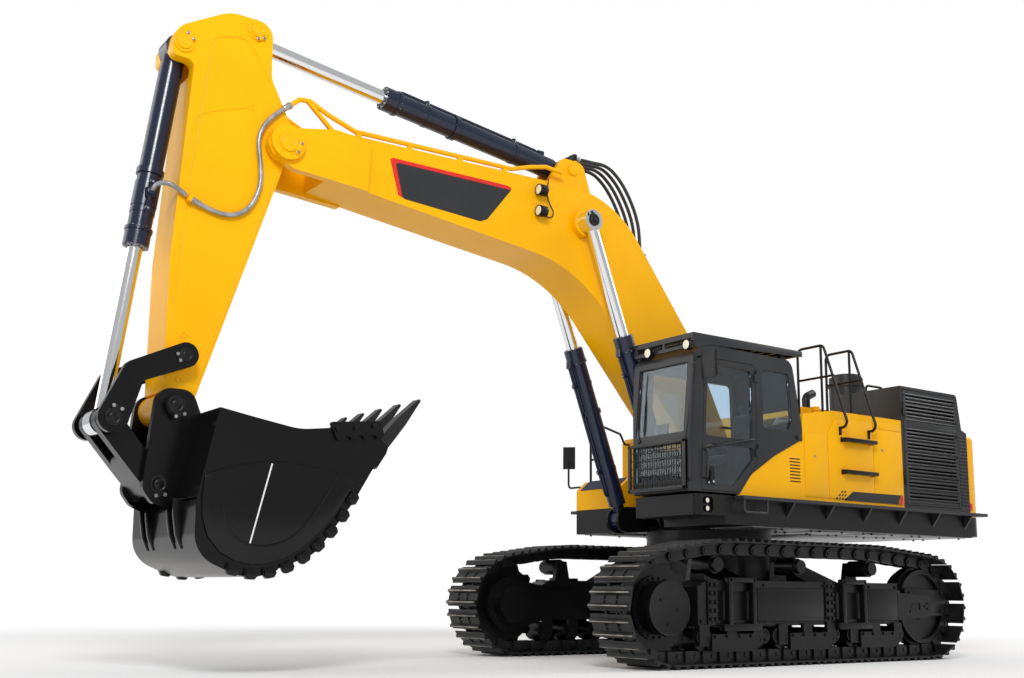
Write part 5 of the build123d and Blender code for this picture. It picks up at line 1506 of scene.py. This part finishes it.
doorTrim = {
    "face": 1.63,
    "cup": ((1.505, -0.001, 2.0), (1.635, 0.006, 2.215)),        # Y is from the face
    "cupRim": ((0.016, 0.0), (0.006, -0.005)),
    "lever": ((1.55, 0.002, 2.06), (1.585, 0.022, 2.18)),
    "latch": ((1.22, -0.004, 2.655), (1.36, 0.012, 2.685)),
    "rail": ((1.6, 0.004, 2.425), (1.57, 0.022, 2.43), (1.2, 0.022, 2.505), (0.88, 0.022, 2.568),
             (0.85, 0.004, 2.573)),
    "railRadius": 0.012,
    "lock": (1.53, 0.016, 2.045, 0.014),         # X, height, Z and radius
    "button": (1.6, 0.012, 2.03, 0.011),
    "buffer": (0.091, (1.625, 1.655), 2.661, 0.032),
}


def makeDoorTrim():
    face = Vector((0, doorTrim["face"], 0))
    blocks = [slab(name, *(Vector(corner) + face for corner in doorTrim[name]), edge)
              for name, edge in (("cup", 0.0), ("lever", 0.006), ("latch", 0.006))]
    dish(blocks[0], (0, 1, 0), doorTrim["cupRim"], 0.004)
    route = [at(*(Vector(place) + face)) for place in doorTrim["rail"]]
    rail = pipeOf("doorRail", route, doorTrim["railRadius"])
    settle(merge("doorHandles", blocks + [rail]), "door", "satin")
    locks = []
    for name in ("lock", "button"):
        x, height, z, radius = doorTrim[name]
        locks.append(sideDrum(name, 1, x, (face.y, face.y + height), z, radius, 18, 0.003))
    settle(merge("doorLocks", locks), "door", "chrome")
    settle(sideDrum("rearBuffer", 1, *doorTrim["buffer"], 20, 0.008), "house", "rubber")


wiper = {
    "arm": ((1.875, 0.8, 2.55), (1.9, 0.795, 2.62), (1.878, 0.79, 2.9), (1.84, 0.785, 3.12)),
    "armRadius": 0.009,
    "blade": ((1.872, 0.78, 2.66), (1.872, 0.792, 2.66), (1.812, 0.792, 3.36), (1.812, 0.78, 3.36)),
    "bladeThick": (0.012, 0, 0.002),
    "boss": ((1.86, 0.8, 2.54), (1.9, 0.8, 2.545)),
    "bossRadius": 0.026,
}


def makeWiper():
    arm = pipeOf("wiperArm", [at(*place) for place in wiper["arm"]], wiper["armRadius"])
    blade = plate("wiperBlade", [at(*place) for place in wiper["blade"]], wiper["bladeThick"], 0.002)
    start, end = (at(*place) for place in wiper["boss"])
    boss = drum("wiperBoss", start, end, wiper["bossRadius"], 18, 0.004)
    settle(merge("wiper", [arm, blade, boss]), "house", "satin")


mirrorFaces = {
    "left": ((1.703, 1.702, 3.2), (1.709, 1.908, 3.47)),
    "right": ((0.788, -1.797), (0.906, -1.915)),     # its edges in X and Y
    "rightZ": (2.51, 2.79),
    "rightPush": (-0.004, -0.004, 0),
}


def makeMirrorFaces():
    left = slab("mirrorLeft", *mirrorFaces["left"], 0.003)
    (x1, y1), (x2, y2) = mirrorFaces["right"]
    low, high = mirrorFaces["rightZ"]
    corners = [at(x1, y1, low), at(x2, y2, low), at(x2, y2, high), at(x1, y1, high)]
    right = plate("mirrorRight", corners, mirrorFaces["rightPush"])
    settle(merge("mirrorFaces", [left, right]), "house", "mirror")


# seat, levers and monitor behind the glass

seat = {                             # X, then Y from the seat's middle and Z from the cab's floor
    "middle": 1.1275,
    "floor": 1.981,
    "base": ((0.56, -0.19, 0.0), (0.9, 0.19, 0.33)),
    "baseFlare": (1.1, 1.15, 1),
    "armX": (0.56, 0.93),
    "armY": (0.265, 0.335),
    "armZ": (0.62, 0.68),
    "post": ((0.6, 0.265, 0.44), (0.58, 0.3, 0.52), (0.6, 0.3, 0.63)),
    "postRadius": 0.014,
    "cushions": (                    # name, corners and crown
        ("seatCushion", (0.505, -0.255, 0.335), (1.025, 0.255, 0.46), 0.02),
        ("seatBack", (0.395, -0.24, 0.44), (0.5, 0.24, 0.98), 0.02),
        ("seatHead", (0.37, -0.15, 0.985), (0.455, 0.15, 1.115), 0.018)),
    "monitor": ((1.5, 0.72, 2.62), (1.53, 0.9, 2.78)),           # from the slewing axis, as the stalk is
    "stalk": ((1.52, 0.7, 2.5), (1.52, 0.74, 2.6), (1.52, 0.8, 2.66)),
    "stalkRadius": 0.014,
    "leverY": 0.08,                  # from the seat's middle
    "lever": ((1.47, 2.04), (1.45, 2.3), (1.38, 2.58)),          # X and Z from the slewing axis
    "leverRadius": 0.013,
    "knob": ((1.39, 2.55), (1.37, 2.63)),
    "knobRadius": 0.022,
}


def bySeat(x, y, z):
    return x, seat["middle"] + y, seat["floor"] + z


def cushion(name, low, high, crown):     # a foam block with drawn-in edges and crowned faces
    pad = slab(name, low, high)
    editAll(pad)
    bpy.ops.mesh.subdivide(number_cuts=6)
    leaveEdit()
    middle = (at(*low) + at(*high)) / 2
    half = (at(*high) - at(*low)) / 2
    for vertex in pad.data.vertices:
        offset = vertex.co - middle
        share = [offset[k] / half[k] for k in range(3)]
        puff = [crown * (1 - share[(k + 1) % 3] ** 2) * (1 - share[(k + 2) % 3] ** 2) for k in range(3)]
        drawn = [offset[k] * (1 - crown / half[k]) + share[k] * puff[k] for k in range(3)]
        vertex.co = middle + Vector(drawn)
    pick(pad)
    smooth = pad.modifiers.new("foam", "SUBSURF")
    smooth.levels = 1
    smooth.render_levels = 1
    bpy.ops.object.modifier_apply(modifier="foam")
    settle(pad, "house", "seat", 60)


def makeSeat():
    low, high = (bySeat(*corner) for corner in seat["base"])
    base = slab("seatBase", low, high)
    pickFaces(base, lambda face: face.normal.z > 0.9)
    centre = at((low[0] + high[0]) / 2, seat["middle"], high[2])
    bpy.ops.transform.resize(value=seat["baseFlare"], center_override=centre)
    leaveEdit()
    soften(base, 0.012)
    frameParts = [base]
    (x1, x2), (z1, z2) = seat["armX"], seat["armZ"]
    for side in (-1, 1):
        y1, y2 = sorted(side * y for y in seat["armY"])
        frameParts.append(slab("armRest", bySeat(x1, y1, z1), bySeat(x2, y2, z2), 0.016))
    for side in (-1, 1):
        route = [at(*bySeat(x, side * y, z)) for x, y, z in seat["post"]]
        frameParts.append(pipeOf("armPost", route, seat["postRadius"]))
    shell = settle(merge("seatFrame", frameParts), "house", "plastic")
    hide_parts("operator_seat")
    for name, low, high, crown in seat["cushions"]:
        cushion(name, bySeat(*low), bySeat(*high), crown)


def makeCabInside():
    fittings = [slab("monitor", *seat["monitor"], 0.008),
                pipeOf("monitorStalk", [at(*place) for place in seat["stalk"]], seat["stalkRadius"])]
    for side in (-1, 1):
        y = seat["middle"] + side * seat["leverY"]
        fittings.append(pipeOf("travelLever", [at(x, y, z) for x, z in seat["lever"]], seat["leverRadius"]))
        start, end = (at(x, y, z) for x, z in seat["knob"])
        fittings.append(drum("leverKnob", start, end, seat["knobRadius"], 18, 0.008))
    settle(merge("cabInside", fittings), "house", "plastic")


# bucket: plain back, arched side plates, heel blocks, stripes and cutter bolts

bucketTrim = {
    "face": 0.875,
    "arch": ((7.146, 1.805), (6.99, 1.865), (6.83, 1.914), (6.67, 1.95), (6.499, 1.971), (6.35, 1.97),
             (6.203, 1.958), (6.05, 1.938), (5.896, 1.909), (5.75, 1.87), (5.64, 1.83), (5.7, 1.72),
             (5.81, 1.56), (5.93, 1.41), (6.06, 1.28), (6.2, 1.17), (6.35, 1.085), (6.5, 1.035), (6.67, 1.02),
             (6.83, 1.05), (6.98, 1.13), (7.1, 1.27), (7.155, 1.45), (7.165, 1.62)),
    "archThick": 0.02,
    "archWelded": 11,                # points of the arch along the weld
    "weld": ((6.96, 1.55), (6.95, 1.403), (6.841, 1.258), (6.679, 1.189), (6.471, 1.195), (6.262, 1.278),
             (6.031, 1.53), (5.833, 1.88)),
    "stripe": ((6.501, 1.955), (6.516, 1.957), (6.7, 1.214), (6.686, 1.21)),
    "heels": ((5.665, 1.68), (5.76, 1.51), (5.88, 1.355), (6.01, 1.22), (6.155, 1.105), (6.315, 1.015),
              (6.49, 0.962), (6.67, 0.948), (6.845, 0.98)),
    "heelBlock": ((-0.052, -0.035), (0.052, -0.035), (0.058, 0.03), (0.04, 0.062), (-0.04, 0.062),
                  (-0.058, 0.03)),
    "heelY": (0.84, 0.076),          # inner face and thickness
    "cutterBolts": ((5.86, 2.34), (5.66, 2.36), (5.46, 2.4)),
    "cutterFace": 0.905,
    "finFaces": (0.276, 0.324, 0.596, 0.644),
    "finX": (6.76, 7.6),
    "finTop": 1.6,
    "back": ((6.4, 0.984), (6.674, 0.878, 0.5), (7.201, 1.099, 0.3), (7.205, 1.59)),
    "backThick": 0.014,
    "rib": ((7.15, 1.62), (7.29, 1.62), (7.275, 1.45), (7.245, 1.28), (7.19, 1.16), (7.1, 1.13), (7.1, 1.3)),
    "ribY": (-0.47, -0.3, 0.3, 0.47),
    "ribThick": 0.044,
}


def rounded(corners, steps=8):           # X and Z with a radius where a corner is turned
    line = []
    for i, corner in enumerate(corners):
        here = Vector(corner[:2])
        if len(corner) < 3:
            line.append(here)
            continue
        before = (Vector(corners[i - 1][:2]) - here).normalized()
        after = (Vector(corners[i + 1][:2]) - here).normalized()
        half = before.angle(after) / 2
        middle = here + (before + after).normalized() * corner[2] / math.sin(half)
        first = here + before * corner[2] / math.tan(half) - middle
        turn = first.angle_signed(here + after * corner[2] / math.tan(half) - middle)
        for k in range(steps + 1):
            spin = Matrix.Rotation(-turn * k / steps, 2)
            line.append(middle + spin @ first)
    return line


def makeBucketBody():                    # the CAD bucket with a plain back in place of its deep fins
    body = copyAt(nodes["bucket"], Matrix.Identity(4))
    body.parent = None
    body.name = "bucketBody"
    rear, front = (at(x, 0, 0).x for x in bucketTrim["finX"])
    pick(body)
    bpy.ops.object.mode_set(mode="EDIT")
    bpy.ops.mesh.select_mode(type="VERT")
    bpy.ops.mesh.select_all(action="DESELECT")
    mesh = bmesh.from_edit_mesh(body.data)
    for vertex in mesh.verts:
        onFin = min(abs(abs(vertex.co.y) - y) for y in bucketTrim["finFaces"]) < 0.002
        vertex.select_set(onFin and rear < vertex.co.x < front and vertex.co.z < bucketTrim["finTop"])
    bmesh.update_edit_mesh(body.data)
    bpy.ops.mesh.delete(type="VERT")
    leaveEdit()
    settle(body, "bucket", "black")
    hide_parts("bucket")


def makeBucketBack():
    half = bucketTrim["face"] - 0.002
    line = rounded(bucketTrim["back"])
    corners = [at(x, y, z) for x, z in line for y in (-half, half)]
    faces = [(2 * i, 2 * i + 1, 2 * i + 3, 2 * i + 2) for i in range(len(line) - 1)]
    back = skinOf("bucketBack", corners, faces)
    pick(back)
    sheet = back.modifiers.new("sheet", "SOLIDIFY")
    sheet.thickness = bucketTrim["backThick"]
    sheet.offset = 0
    bpy.ops.object.modifier_apply(modifier="sheet")
    pieces = [back]
    thick = bucketTrim["ribThick"]
    for y in bucketTrim["ribY"]:
        pieces.append(sidePlate("backRib", bucketTrim["rib"], y - thick / 2, thick, 0.006))
    settle(merge("bucketBack", pieces), "bucket", "black", 40)


def heelBlocks(side):                    # one along each stretch of the lower edge
    places = [Vector(place) for place in bucketTrim["heels"]]
    inner, thick = bucketTrim["heelY"]
    blocks = []
    for i, place in enumerate(places):
        along = (places[min(i + 1, len(places) - 1)] - places[max(i - 1, 0)]).normalized()
        out = Vector((along.y, -along.x))
        corners = [place + along * a + out * b for a, b in bucketTrim["heelBlock"]]
        blocks.append(sidePlate("heelBlock", corners, side * inner, side * thick, 0.012))
    return blocks


def makeBucketTrim(bolt):
    makeBucketBody()
    makeBucketBack()
    plates, beads, stripes, heels, spots = [], [], [], [], []
    thick, arch = bucketTrim["archThick"], bucketTrim["arch"]
    for side in (-1, 1):
        face = side * bucketTrim["face"]
        top = face + side * thick
        plates.append(sidePlate("archPlate", arch, face - side * bite, side * (thick + bite), 0.009))
        beads.append(pipeOf("sideWeld", [at(x, top, z) for x, z in bucketTrim["weld"]], 0.01))
        beads.append(pipeOf("archWeld", [at(x, face, z) for x, z in arch[:bucketTrim["archWelded"]]], 0.014))
        stripes.append(sidePlate("stripe", bucketTrim["stripe"], top - side * bite, side * 0.0025))
        heels += heelBlocks(side)
        for x, z in bucketTrim["cutterBolts"]:
            spots.append((at(x, side * bucketTrim["cutterFace"], z), (0, side, 0), 0.024))
    settle(merge("bucketSides", plates + beads), "bucket", "black")
    settle(merge("bucketHeels", heels), "bucket", "black")
    settle(merge("bucketStripes", stripes), "bucket", "white")
    settle(scatter("cutterBolts", bolt, spots), "bucket", "satin")


makeCamera()
makeStudio()
materials = makeMaterials()
finishNodes()
print("stage, camera and CAD finishes ready")
makeBackHoses()
makeTipHose()
makePortHose()
print("hoses laid")
makeTracks()
boltModel = makeBoltModel()
makeUndercarriageTrim(boltModel)
makeSideFrames(boltModel)
makeBellyPlates(boltModel)
print("undercarriage trimmed")
makeLeftPanels()
makeLouvre()
makeSideSteps(boltModel)
makeLocks()
makeBoxPanel()
makeRightSide(boltModel)
makeRearTrim()
makeCoolingTrim(boltModel)
print("house trimmed")
makeBoomPlates()
makeBoomLamps()
makeBoomClamps(boltModel)
makePinCaps(boltModel)
makeStickTrim()
makeCylinderTrim(boltModel)
print("arm trimmed")
makeGuardMesh()
makeGuardFrame()
makeCabLamps()
makeDoorTrim()
makeWiper()
makeMirrorFaces()
makeSeat()
makeCabInside()
makeBucketTrim(boltModel)
drop(boltModel)
print("cab and bucket trimmed")
